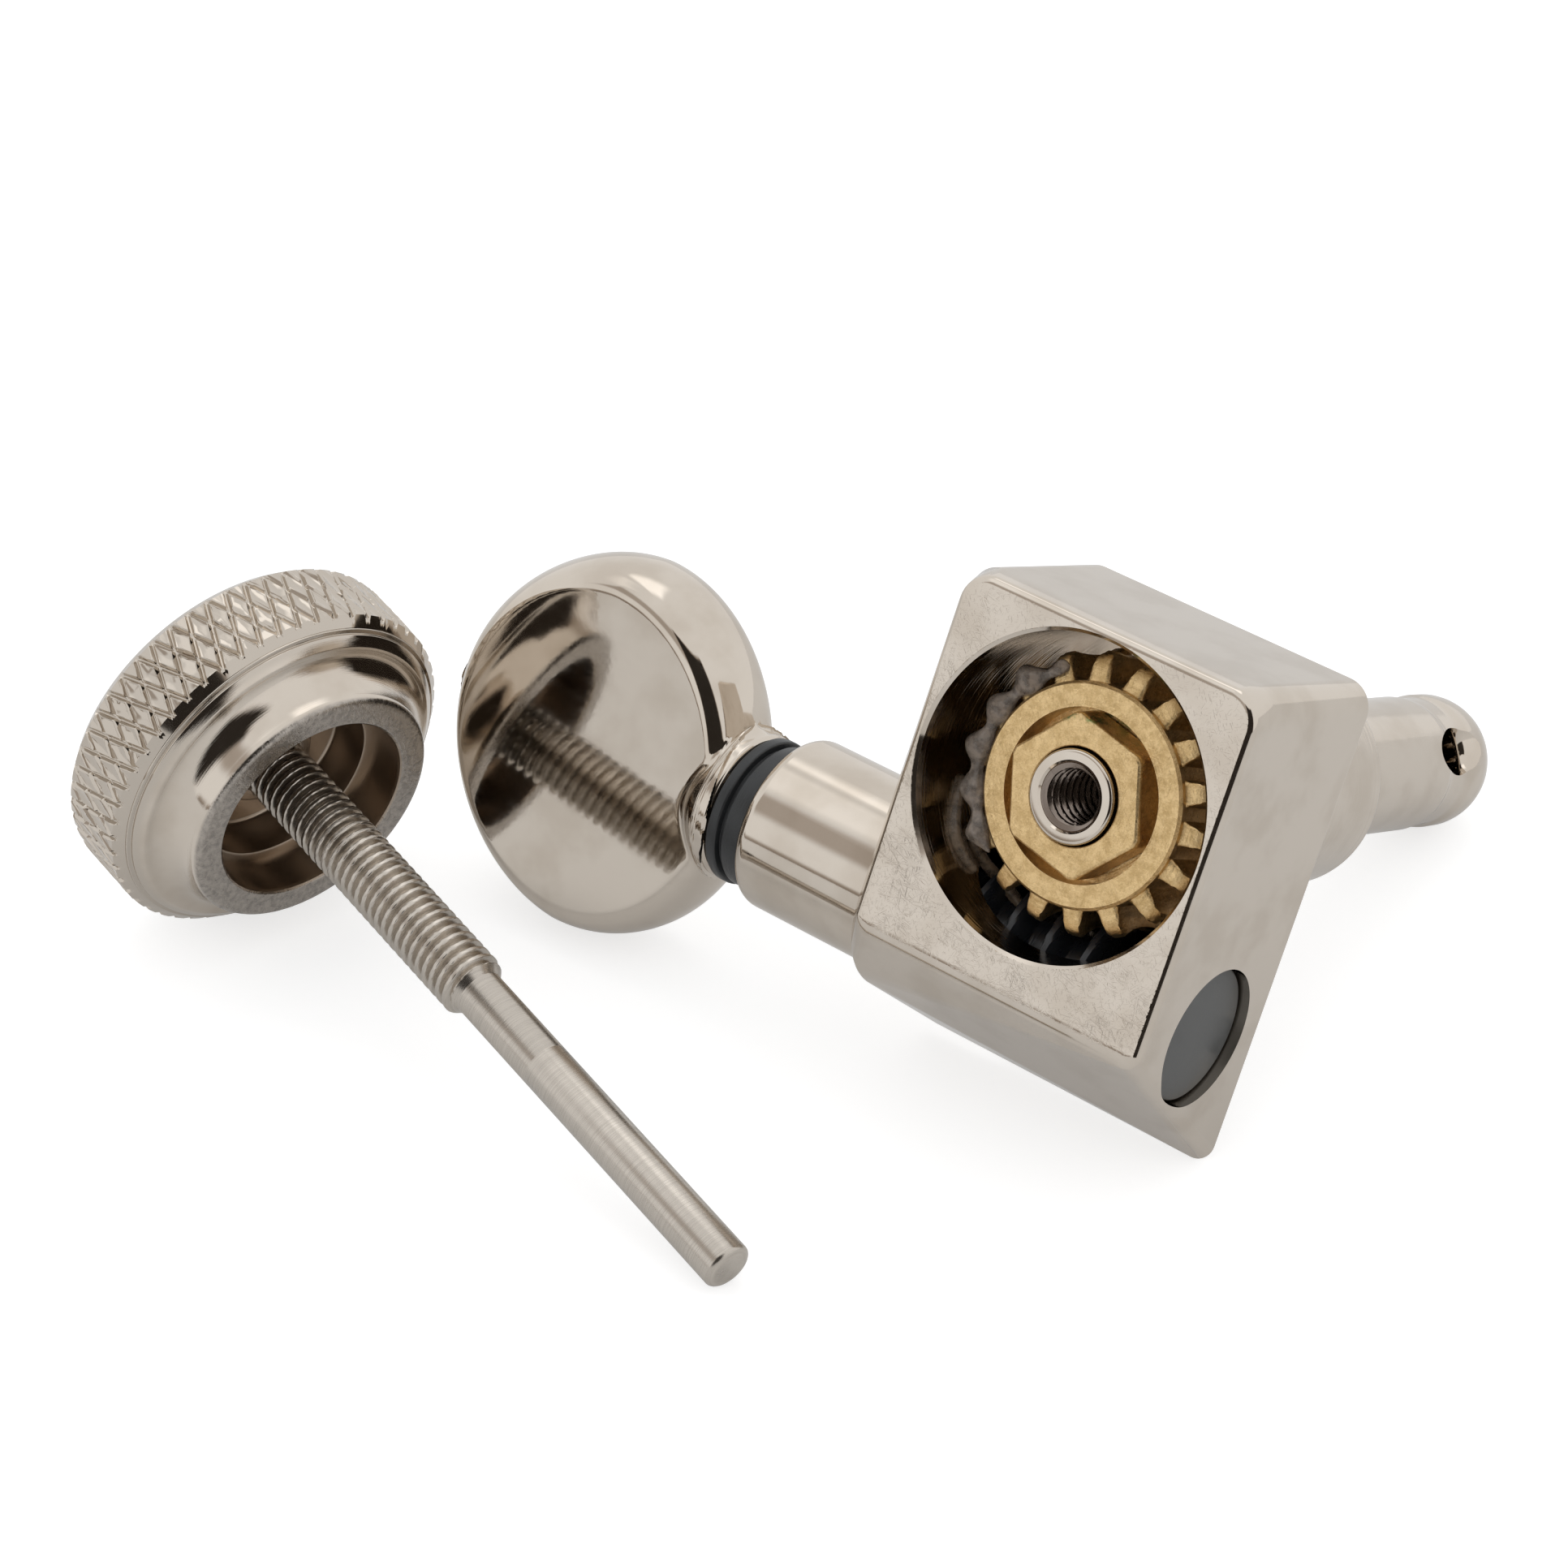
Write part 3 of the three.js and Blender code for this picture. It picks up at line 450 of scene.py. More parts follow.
def hull(points):
    """The convex body round some points."""
    mesh = bmesh.new()
    for point in points:
        mesh.verts.new(point)
    found = bmesh.ops.convex_hull(mesh, input=mesh.verts)
    spare = {g for g in found["geom_interior"] + found["geom_unused"] if isinstance(g, bmesh.types.BMVert)}
    bmesh.ops.delete(mesh, geom=list(spare), context="VERTS")
    return mesh


def moved(mesh, matrix):
    mesh.transform(matrix)
    return mesh


def carved(body, added=(), cut=()):
    """The body with some solids added and others cut away."""
    spare = []

    def solid(mesh):
        bmesh.ops.recalc_face_normals(mesh, faces=mesh.faces)
        data = bpy.data.meshes.new("solid")
        mesh.to_mesh(data)
        mesh.free()
        spare.append(bpy.data.objects.new("solid", data))
        bpy.context.scene.collection.objects.link(spare[-1])
        return spare[-1]

    base = solid(body)
    for operation, meshes in (("UNION", added), ("DIFFERENCE", cut)):
        for mesh in meshes:
            boolean = base.modifiers.new("boolean", "BOOLEAN")
            boolean.operation = operation
            boolean.object = solid(mesh)
            boolean.solver = "EXACT"
    graph = bpy.context.evaluated_depsgraph_get()
    result = bpy.data.meshes.new_from_object(base.evaluated_get(graph), depsgraph=graph)
    whole = bmesh.new()
    whole.from_mesh(result)
    bpy.data.meshes.remove(result)
    for made in spare:
        data = made.data
        bpy.data.objects.remove(made)
        bpy.data.meshes.remove(data)
    bmesh.ops.remove_doubles(whole, verts=whole.verts, dist=WELD)
    bmesh.ops.dissolve_degenerate(whole, edges=whole.edges, dist=WELD)
    return whole


nickel_case = case_nickel("nickel_case", CASE_HOME)
nickel_button = plain_nickel("nickel_button", BUTTON_HOME, 0.04, 1.0)
nickel_wheel = wheel_nickel("nickel_wheel", SCREW_HOME)
nickel_post = plain_nickel("nickel_post", POST_HOME, 0.06)
case_steel = turned_steel("case_steel", CASE_HOME)
# Painted shade: the thread inside the post's bore gets a dark brown steel colour that stands in for the shade
# inside the bore.
thread_steel_painted_shade = turned_steel("thread_steel_painted_shade", POST_HOME, (0.3, 0.25, 0.215), 0.2)
spindle_steel = turned_steel("spindle_steel", SCREW_HOME)
brass = machined_brass("machined_brass", POST_HOME)
black_plastic = moulded_black("black_plastic", NECK_HOME)
plug_grey = moulded_black("plug_grey", NECK_HOME, (0.05, 0.051, 0.05), 0.45)
worm_black = moulded_black("worm_black", BUTTON_HOME, (0.01, 0.011, 0.013), 0.3)

BODY_OF = {node: body for body, nodes in frame["record"]["behaviour"]["bodies"].items() for node in nodes}


# Housing, in the tuner's frame: a block with rounded corners and edges, a neck and a sleeve, and its cuts

HALF_WIDTH, TOP = 7.2, 7.13
LEFT_DRAFT, LEFT_FOOT_DRAFT, TOP_DRAFT, DRAFT_DEPTH = 0.35, 0.55, 0.12, 1.5
CORNER, WALL_CORNER, FOOT_CORNER = 1.4, 1.25, 0.85
REAR_EDGE, LOWER_EDGE, SEAT_EDGE = 0.4, 0.8, 0.2
SLANT = math.radians(28.6)
POCKET_RADIUS, POCKET_DEPTH, WORM_BORE = 6.67, 7.35, 3.05
MOUTH_CHAMFER = 0.15
WORM_WALL = 0.3  # between the worm's bore and the slanted wall
BOSS_RADIUS, BOSS_REACH, BOSS_ROUND = 4.3, 0.57, 0.3
NECK_RADIUS, NECK_END_RADIUS, NECK_ROUND = 3.87, 3.35, 0.6
NECK_END, NECK_RISE = -14.6, 0.22
SLEEVE_RADIUS, SLEEVE_EDGE, SLEEVE_ROOT, SLEEVE_END = 4.7, 0.3, -9.3, -19.2
POST_HOLE = 3.1
FRONT_THREAD_HOLE, FRONT_THREAD_FOOT, FRONT_THREAD_MOUTH = 4, -13.7, -19
WORM_BORE_END = -5.27
SHAFT_HOLE, BUSH_HOLE, BUSH_SEAT = 1.7, 2.58, -13
PIN_SPREAD, PIN_DROP = 3.4, 10.6
PIN_HOLE, PIN_SEAT, PIN_CUT_END = 1.18, -8.32, -12.7
OVERRUN = 0.5  # how far a cutter reaches past what it cuts
ALONG_X = Matrix.Rotation(math.pi / 2, 4, "Y")


def on_worm_line(mesh, rise=0.0):
    """Lays a mesh that is turned about z along the worm, with z towards the plug."""
    return moved(mesh, Matrix.Translation((0, rise - WORM_DROP, -WORM_DEPTH)) @ ALONG_X)


def slanted_wall(depth):
    return -WORM_DROP - (WORM_BORE + WORM_WALL - (WORM_DEPTH - depth) * math.sin(SLANT)) / math.cos(SLANT)


def block_corner(side, end, wall, radius, face, inward, edge_side, edge_end, steps=10):
    points = []
    for level in range(steps + 1):
        lean = math.pi / 2 * level / steps
        inset_side, inset_end = (edge * (1 - math.cos(lean)) for edge in (edge_side, edge_end))
        height = face + inward * edge_side * (1 - math.sin(lean))
        for turn in range(steps + 1):
            angle = math.pi / 2 * turn / steps
            x = wall[0] - radius + (radius - inset_side) * math.cos(angle)
            y = wall[1] - end * radius + end * (radius - inset_end) * math.sin(angle)
            points.append((side * x, y, height))
    return points


def housing_block():
    points = []
    boss_end = -HALF_WIDTH - BOSS_REACH
    for k in range(7):
        turn = math.pi / 2 * k / 6
        radius = BOSS_RADIUS - BOSS_ROUND * (1 - math.cos(turn))
        x = boss_end + BOSS_ROUND * (1 - math.sin(turn))
        for place in plain_ring(radius, x, 96):
            points.append((x, place[0] - WORM_DROP, place[1] - WORM_DEPTH))
    wall_top = TOP + TOP_DRAFT
    for side in (-1, 1):
        near = HALF_WIDTH
        wall, foot = (near + LEFT_DRAFT, near + LEFT_FOOT_DRAFT) if side < 0 else (near, near)
        low, foot_low = slanted_wall(REAR_EDGE), slanted_wall(CASE_DEPTH)
        points += block_corner(side, 1, (near, TOP), CORNER, 0, -1, REAR_EDGE, REAR_EDGE)
        points += block_corner(side, 1, (wall, wall_top), WALL_CORNER, -DRAFT_DEPTH, -1, 0, 0)
        points += block_corner(side, -1, (near, low), FOOT_CORNER, 0, -1, REAR_EDGE, LOWER_EDGE)
        points += block_corner(side, 1, (wall, wall_top), WALL_CORNER, -CASE_DEPTH, 1, SEAT_EDGE, SEAT_EDGE)
        points += block_corner(side, -1, (foot, foot_low), FOOT_CORNER, -CASE_DEPTH, 1, SEAT_EDGE, SEAT_EDGE)
    return hull(points)


def housing_mesh():
    neck = [(0, -HALF_WIDTH + OVERRUN), (NECK_RADIUS, -HALF_WIDTH + OVERRUN)]
    for k in range(13):
        turn = math.pi / 2 * k / 12
        radius = NECK_END_RADIUS + (NECK_RADIUS - NECK_END_RADIUS) * math.cos(turn)
        neck.append((radius, NECK_END + NECK_ROUND - NECK_ROUND * math.sin(turn)))
    neck.append((0, NECK_END))
    sleeve = [(0, SLEEVE_ROOT), (SLEEVE_RADIUS, SLEEVE_ROOT)]
    sleeve += [(SLEEVE_RADIUS, SLEEVE_END, SLEEVE_EDGE), (0, SLEEVE_END)]
    pocket = [(0, OVERRUN), (POCKET_RADIUS + MOUTH_CHAMFER + OVERRUN, OVERRUN)]
    pocket += [(POCKET_RADIUS, -MOUTH_CHAMFER), (POCKET_RADIUS, -POCKET_DEPTH), (0, -POCKET_DEPTH)]
    front_end = SLEEVE_END - OVERRUN
    front_bore = [(0, FRONT_THREAD_FOOT), (FRONT_THREAD_HOLE, FRONT_THREAD_FOOT)]
    front_bore += [(FRONT_THREAD_HOLE, FRONT_THREAD_MOUTH), (SLEEVE_RADIUS, front_end), (0, front_end)]
    cuts = [lathe(pocket, 192), plain_hole(POST_HOLE, OVERRUN - POCKET_DEPTH, front_end), lathe(front_bore)]
    neck_front = NECK_END - OVERRUN
    for radius, start, end in (
        (WORM_BORE, WORM_BORE_END, HALF_WIDTH + OVERRUN),
        (SHAFT_HOLE, neck_front, WORM_BORE_END + OVERRUN),
        (BUSH_HOLE, neck_front, BUSH_SEAT),
    ):
        cuts.append(on_worm_line(plain_hole(radius, start, end, 128)))
    for side in (-1, 1):
        hole = plain_hole(PIN_HOLE, PIN_SEAT, PIN_CUT_END, 48)
        cuts.append(moved(hole, Matrix.Translation((side * PIN_SPREAD, -PIN_DROP, 0))))
    return carved(housing_block(), [on_worm_line(lathe(neck, 128), NECK_RISE), lathe(sleeve, 128)], cuts)


# String post, in the tuner's frame

POST_RADIUS, SEAT_RADIUS, POST_END, POST_TIP = 3.0, 1.95, -1.05, -35.25
SEAT_END = -6.78
POST_BORE, POST_BORE_MOUTH, POST_BORE_END = 1.35, -1.22, -13.05
PIN_CHANNEL, PIN_CHANNEL_END = 1.2, -31.7
HOLE_DEPTH, HOLE_RADIUS, HOLE_TURN = -30.4, 1, math.radians(33)
FLARE_DEPTH, FLARE_SIDE, FLARE_ALONG = 0.75, 0.25, 0.95
WAIST_DEPTH, WAIST_HALF_WIDTH = 0.12, 1.3


def string_hole_cut():
    """The hole for the string, which flares along the post at both mouths."""
    rows = []
    for k in range(-20, 21):
        place = (POST_RADIUS + OVERRUN) * k / 20
        out = max((abs(place) - POST_RADIUS + FLARE_DEPTH) / FLARE_DEPTH, 0)
        across, along = HOLE_RADIUS + FLARE_SIDE * out**2, HOLE_RADIUS + FLARE_ALONG * out**2
        rows.append([(place, y, z) for y, z in oval(across, along)])
    return moved(grid(rows), Matrix.Translation((0, 0, HOLE_DEPTH)) @ Matrix.Rotation(HOLE_TURN, 4, "Z"))


def oval(across, along, sides=48):
    turn = (2 * math.pi * i / sides for i in range(sides))
    return [(across * math.sin(a), along * math.cos(a)) for a in turn]


def waist_depth(share):
    """The depth of the waist at the string hole, at a share of its width."""
    if 0.25 <= share <= 0.75:
        return WAIST_DEPTH
    return WAIST_DEPTH * (0.5 - 0.5 * math.cos(math.pi * min(share, 1 - share) * 4))


def post_mesh():
    outline = [(0, POST_END), (SEAT_RADIUS, POST_END, 0.17)]
    outline += [(SEAT_RADIUS, SEAT_END), (POST_RADIUS, SEAT_END, 0.1)]
    for k in range(13):
        place = HOLE_DEPTH + WAIST_HALF_WIDTH - 2 * WAIST_HALF_WIDTH * k / 12
        outline.append((POST_RADIUS - waist_depth(k / 12), place))
    for k in range(1, 17):
        turn = math.pi / 2 * k / 16
        radius = POST_RADIUS * math.cos(turn) if k < 16 else 0
        outline.append((radius, POST_TIP + POST_RADIUS - POST_RADIUS * math.sin(turn)))
    bore = [(0, -0.5), (SEAT_RADIUS, -0.5), (POST_BORE, POST_BORE_MOUTH), (POST_BORE, POST_BORE_END)]
    bore += [(PIN_CHANNEL, POST_BORE_END), (PIN_CHANNEL, PIN_CHANNEL_END), (0, PIN_CHANNEL_END)]
    return carved(lathe(outline, 128), (), [lathe(bore), string_hole_cut()])


# Worm wheel and its nut

TEETH, TIP, THROAT, ROOT_CIRCLE, PITCH_RADIUS = 18, 5.85, 5.62, 4.62, 5.25
RING, RING_EDGE, RING_HEIGHT = 4.62, 0.12, 0.35
WHEEL_FACE, WHEEL_BACK = 1.9, 6.7
TOOTH_TOP, TOOTH_SHOULDER, TOOTH_ROUND = 2.33, 0.7, 0.62
THROAT_START, THROAT_LENGTH = 3.05, 3.3
# a tooth's flank: shares of the pitch from its middle, and of its height
TOOTH_SHARES = ((0.11, 1), (0.17, 0.94), (0.21, 0.78), (0.25, 0.46), (0.29, 0.16), (0.33, 0.04), (0.4, 0))
WORM_LEAN = PITCH_RADIUS / TEETH / (WORM_DROP - PITCH_RADIUS)
NUT_RECESS, NUT_SEAT, WHEEL_BORE = 3.58, 3.15, 2.03
NUT_TURN, NUT_CORNER_SPREAD = 48, 2.5  # degrees
NUT_OUTLINE = ((3.2, 1.35), (3.3, 1.38), (3.38, 1.5), (3.38, 3.07))  # corner radius and depth


def gear_row(depth, tip, root=ROOT_CIRCLE):
    lean = (WORM_DEPTH - depth) * WORM_LEAN / PITCH_RADIUS
    half = [(-turn, up) for turn, up in reversed(TOOTH_SHARES)] + list(TOOTH_SHARES)
    points = []
    for tooth in range(TEETH):
        for turn, up in half:
            angle = lean - math.pi / 2 + 2 * math.pi * (tooth + 0.5 + turn) / TEETH
            radius = root + (tip - root) * up
            points.append((radius * math.cos(angle), radius * math.sin(angle), -depth))
    return points


def wheel_mesh():
    shoulder = TIP - TOOTH_SHOULDER
    rows = [
        gear_row(WHEEL_FACE, RING - RING_EDGE, RING - RING_EDGE),
        gear_row(WHEEL_FACE + RING_EDGE, RING, RING),
        gear_row(WHEEL_FACE + RING_HEIGHT, RING),
        gear_row(TOOTH_TOP, shoulder),
    ]
    for k in range(1, 5):
        turn = math.pi / 2 * k / 4
        depth = TOOTH_TOP + TOOTH_ROUND * (1 - math.cos(turn))
        rows.append(gear_row(depth, shoulder + TOOTH_ROUND * math.sin(turn)))
    for k in range(9):
        share = k / 8
        dip = (TIP - THROAT) * (1 - (2 * share - 1) ** 2)
        rows.append(gear_row(THROAT_START + THROAT_LENGTH * share, TIP - 0.02 - dip))
    rows.append(gear_row(WHEEL_BACK, TIP - 0.35))
    recess = plain_hole(NUT_RECESS, OVERRUN - WHEEL_FACE, -NUT_SEAT, 128)
    bore = plain_hole(WHEEL_BORE, OVERRUN - WHEEL_FACE, -WHEEL_BACK - OVERRUN)
    return carved(grid(rows), (), [recess, bore])


def nut_mesh():
    rows = []
    for radius, depth in NUT_OUTLINE:
        corners = []
        for i in range(12):
            spread = NUT_CORNER_SPREAD if i % 2 else -NUT_CORNER_SPREAD
            angle = math.radians(NUT_TURN + 60 * (i // 2) + spread)
            corners.append((radius * math.cos(angle), radius * math.sin(angle), -depth))
        rows.append(corners)
    bore = plain_hole(WHEEL_BORE, OVERRUN - NUT_OUTLINE[0][1], -NUT_OUTLINE[-1][1] - OVERRUN)
    return carved(grid(rows), (), [bore])


for node in ("locating_pin_left", "locating_pin_right", "worm_washer", "worm_end_washer", "post_washer"):
    frame["nodes"][node].data.materials[0] = case_steel
FINER = {
    "housing": (housing_mesh, nickel_case, "plated_case", 0.04),
    "string_post": (post_mesh, nickel_post, "plated_post", 0.05),
    "worm_wheel": (wheel_mesh, brass, "brass", 0.035),
    "gear_nut": (nut_mesh, brass, "brass", 0.06),
}
for node, (make, look, slot, width) in FINER.items():
    made = piece(node + "_dressed", BODY_OF[node], TUNER, make(), look, [node])
    rounded_edges(made, width)


# Button: two flat faces that taper, a rounded rim, and the collar that runs into them on the worm's line.
# Its places are in the tuner's frame, from the worm's axis.

BUTTON_FRONT = -16.41
BUTTON_MIDDLE = -24.18
BUTTON_HALF_LENGTH = 7.73
BUTTON_HALF_HEIGHT = 8.56
BUTTON_DROP = 0.17
BUTTON_EGG = 0.06
BUTTON_RIM = 1.25
BUTTON_TURN = math.radians(8)
STEM_HALF, END_HALF, FACE_SHARE = 1.9, 2.3, 1.12  # half thicknesses, and the share of them at the faces
COLLAR_RADIUS, COLLAR_EDGE, COLLAR_LENGTH = 3.3, 0.22, 0.75
COLLAR_TAPER, COLLAR_FOOT_RADIUS, COLLAR_BLEND = 2.3, 1.2, 0.45
BORE_RADIUS, BORE_MOUTH_RADIUS, BORE_MOUTH, BORE_LENGTH = 1.68, 1.75, 0.07, 6.5


def smooth_min(a, b, blend):
    share = np.clip(0.5 + 0.5 * (b - a) / blend, 0, 1)
    return b + (a - b) * share - blend * share * (1 - share)


def body_excess(x, y, z):
    """How far a place stands out over the oval body's skin, along z."""
    u = (x - BUTTON_MIDDLE) / BUTTON_HALF_LENGTH
    egg = 1 - BUTTON_EGG * np.clip(-u, 0, 1)
    v = (y + BUTTON_DROP) / (BUTTON_HALF_HEIGHT * egg)
    rho = np.sqrt(u * u + v * v) + 1e-9
    reach = np.sqrt((x - BUTTON_MIDDLE) ** 2 + (y + BUTTON_DROP) ** 2) / rho
    inset = (1 - rho) * reach
    half = END_HALF + (STEM_HALF - END_HALF) * (u + 1) / 2
    bow = np.clip(1 - inset / BUTTON_RIM, 0, None)
    skin = FACE_SHARE * half * np.sqrt(np.clip(1 - bow * bow, 0, None)) - 3 * np.clip(-inset, 0, None)
    return np.abs(z) - skin


def collar_radius(x):
    back = BUTTON_FRONT - x
    edge = COLLAR_RADIUS - np.clip(COLLAR_EDGE - back, 0, None) ** 2 / COLLAR_EDGE
    left = np.clip(1 - (back - COLLAR_LENGTH) / COLLAR_TAPER, 0, 1)
    flare = COLLAR_FOOT_RADIUS + (COLLAR_RADIUS - COLLAR_FOOT_RADIUS) * left
    return np.minimum(edge, flare)


def button_excess(x, y, z):
    step = 1e-3
    value = body_excess(x, y, z)
    slopes = [
        (body_excess(x + dx, y + dy, z + dz) - value) / step
        for dx, dy, dz in ((step, 0, 0), (0, step, 0), (0, 0, step))
    ]
    body = value / np.sqrt(sum(slope * slope for slope in slopes) + 1e-9)
    collar = np.sqrt(y * y + z * z) - collar_radius(x)
    return smooth_min(body, collar, COLLAR_BLEND)


def button_skin(stations=170, rays=200):
    """Rings round the worm's line, each found by halving steps out to the skin."""
    outer = BUTTON_MIDDLE - BUTTON_HALF_LENGTH
    turn = np.linspace(0, math.pi, stations)
    along = outer + (BUTTON_FRONT - outer) * (1 - np.cos(turn)) / 2
    along[0] += 0.002
    fine = np.linspace(0, 2 * math.pi, 1441)
    rows = []

    def reach(x, angles):
        low, high = np.zeros_like(angles), np.full_like(angles, 11.0)
        for _ in range(36):
            middle = (low + high) / 2
            outside = button_excess(x, middle * np.cos(angles), middle * np.sin(angles)) > 0
            low, high = np.where(outside, low, middle), np.where(outside, middle, high)
        return (low + high) / 2

    for x in along:
        radius = reach(x, fine)
        points = np.stack([radius * np.cos(fine), radius * np.sin(fine)], 1)
        lengths = np.linalg.norm(np.diff(points, axis=0), axis=1)
        heading = np.unwrap(np.arctan2(*np.diff(points, axis=0).T[::-1]))
        bend = np.abs(np.gradient(heading))
        bend = np.convolve(np.r_[bend[-15:], bend, bend[:15]], np.ones(31) / 31, "same")[15:-15]
        weight = lengths / max(lengths.sum(), 1e-9) + 1.2 * bend / max(bend.sum(), 1e-9)
        total = np.r_[0, np.cumsum(weight)]
        angles = np.interp(np.arange(rays) / rays * total[-1], total, fine)
        radius = reach(x, angles)
        rows.append([(x, r * math.cos(a), r * math.sin(a)) for r, a in zip(radius, angles)])
    front = rows[-1]
    for radius, back in ((BORE_MOUTH_RADIUS, 0), (BORE_RADIUS, BORE_MOUTH), (BORE_RADIUS, BORE_LENGTH)):
        rows.append([(BUTTON_FRONT - back, *(Vector(p[1:]).normalized() * radius)) for p in front])
    return grid(rows)


button_local = WORM_LINE @ Matrix.Rotation(BUTTON_TURN, 4, "X")
piece("button_dressed", "button", button_local, button_skin(), nickel_button, ["button"], 40)


# Worm, its plug, and the two rings at the neck, along the worm's line

WORM_FRONT, WORM_BACK = 4.99, -4.21
WORM_LEAD = 2 * math.pi * PITCH_RADIUS / TEETH
WORM_ROOT, WORM_THREAD_HEIGHT = 1.6, 1.35
# shares of the lead: half the crest, a flank, and the stretch over which the thread runs out
CREST_SHARE, FLANK_SHARE, FADE_SHARE = 0.09, 0.14, 0.35


def worm_radius(along, angle):
    turn = along / WORM_LEAD - angle / (2 * math.pi)
    off = abs(turn - round(turn))
    down = min(max((off - CREST_SHARE) / FLANK_SHARE, 0), 1)
    ends = min(along - WORM_BACK, WORM_FRONT - along) / (WORM_LEAD * FADE_SHARE)
    return WORM_ROOT + WORM_THREAD_HEIGHT * min(max(ends, 0), 1) * (1 - down)


def worm_skin(sides=64, steps=110):
    shaft = ((1.5, -22.91), (1.6, -22.8), (1.6, -4.75), (2.3, -4.71), (2.3, -4.29))
    journal = ((1.2, 5.05), (1.2, 5.39))
    rows = [plain_ring(radius, along, sides) for radius, along in shaft]
    for i in range(steps + 1):
        along = WORM_BACK + (WORM_FRONT - WORM_BACK) * i / steps
        rows.append(shaped_ring(lambda at, a: worm_radius(at, a - math.pi / 2), along, sides))
    rows += [plain_ring(radius, along, sides) for radius, along in journal]
    return grid(rows)


piece("worm_dressed", "button", WORM, worm_skin(), worm_black, ["worm_shaft"], 40)

PLUG_FACE, PLUG_BACK, PLUG_RADIUS = 6.75, 5.55, 2.97
plug_outline = [
    (0, PLUG_BACK),
    (PLUG_RADIUS, PLUG_BACK, 0.08),
    (PLUG_RADIUS, PLUG_FACE, 0.12),
    (0, PLUG_FACE),
]
piece("plug_dressed", "case", WORM, lathe(plug_outline), plug_grey, ["worm_plug"])
bush_outline = [
    (1.7, -15.58, 0.05),
    (3.2, -15.58, 0.07),
    (3.2, -14.68, 0.07),
    (2.5, -14.68),
    (2.5, -13.08, 0.1),
    (1.7, -13.08, 0.1),
]
piece("bush_dressed", "case", WORM, lathe(bush_outline), black_plastic, ["neck_bush"])
washer_outline = [
    (1.7, -16.33, 0.05),
    (3.31, -16.33, 0.08),
    (3.31, -15.83, 0.1),
    (2.95, -15.83, 0.03),
    (2.95, -15.66, 0.05),
    (1.7, -15.66, 0.05),
]
washer = lathe(washer_outline)
piece("washer_dressed", "case", WORM, washer, black_plastic, ["button_washer"])


# Thread inside the post's end

THREAD_PITCH = 0.5


def thread_share(along, angle):
    """The height of a right-hand thread at a place, from 0 in its root to 1 on its crest."""
    turn = along / THREAD_PITCH - angle / (2 * math.pi)
    return min(max((0.42 - abs(turn - round(turn))) / 0.26, 0), 1)


def thread_rows(start, end, radius_at, sides, step):
    count = round((end - start) / step)
    rows = []
    for k in range(count + 1):
        rows.append(shaped_ring(radius_at, start + (end - start) * k / count, sides))
    return rows


LINER, LINER_SIDES = POST_BORE + 0.02, 72


def bore_radius(along, angle):
    return POST_BORE - 0.01 - 0.21 * thread_share(along, angle)


post_rows = thread_rows(-9, -1.2, bore_radius, LINER_SIDES, 0.04)
post_rows = [plain_ring(LINER, -9.02, LINER_SIDES), *post_rows, plain_ring(LINER, -1.14, LINER_SIDES)]
post_rows.append(post_rows[0])
thread_mesh = grid(post_rows, caps=False)
bmesh.ops.remove_doubles(thread_mesh, verts=thread_mesh.verts, dist=FINE_WELD)
piece("post_thread", "post", TUNER, thread_mesh, thread_steel_painted_shade, (), 50)


# Grease: a chain of lumps along the teeth, and smears on the pocket's wall


def greasy(name, at, colour):
    made, nodes, shader, place = material(name, at)
    lumps = nodes.noise(place, 2.5, 4, 0.6)
    tone = nodes.mix(nodes.span(lumps, 0.35, 0.65), colour, tuple(0.45 * c for c in colour))
    shader.inputs["Transmission Weight"].default_value = 0.45
    shader.inputs["IOR"].default_value = 1.47
    rough = nodes.span(lumps, 0.3, 0.7, 0.16, 0.3, False)
    return finished(made, nodes, shader, tone, rough, nodes.bump(lumps, 0.05 * MM))


def lump_chain(angles, size_at, place_at, steps=150, sides=20):
    """A closed strand round the post's axis, thicker and thinner along its way."""
    rows = []
    for k in range(steps + 1):
        angle = math.radians(angles[0] + (angles[1] - angles[0]) * k / steps)
        radius, height = place_at(angle)
        size = size_at(angle) * math.sqrt(max(1 - (2 * k / steps - 1) ** 6, 0.002))
        row = []
        for i in range(sides):
            turn = 2 * math.pi * i / sides
            away = Vector((math.cos(angle) * 3, math.sin(angle) * 3, turn))
            swell = size * (1 + 0.25 * noise.noise(away * 1.3))
            out, up = radius + swell * math.cos(turn), height + swell * math.sin(turn)
            row.append((out * math.cos(angle), out * math.sin(angle), up))
        rows.append(row)
    return grid(rows)


def bead(angle):
    """How near the middle of a tooth an angle is, from 0 to 1."""
    tooth = (angle + math.pi / 2) * TEETH / (2 * math.pi) - 0.5
    return 0.5 + 0.5 * math.cos(2 * math.pi * (tooth - round(tooth)))


grease_look = greasy("grease", POST_HOME, (0.36, 0.3, 0.25))
wall_grease_look = greasy("wall_grease", CASE_HOME, (0.3, 0.22, 0.15))
chain = lump_chain((119, 230), lambda a: 0.26 + 0.36 * bead(a), lambda a: (5.12 + 0.12 * bead(a), -2.25))
piece("tooth_grease", "post", TUNER, chain, grease_look, sharp=80)
SMEARS = (((196, 232), 6.6, -3.1, 0.3), ((214, 250), 6.58, -4.3, 0.26))  # angles, radius, height, size
for index, (angles, radius, height, size) in enumerate(SMEARS):
    smear = lump_chain(
        angles,
        lambda _, size=size: size,
        lambda a, radius=radius, height=height: (radius, height + 0.5 * math.sin(7 * a)),
        60,
    )
    piece(f"wall_grease_{index}", "case", TUNER, smear, wall_grease_look, sharp=80)


# Thumbscrew, in its own frame: z runs from the pin's tip to the wheel

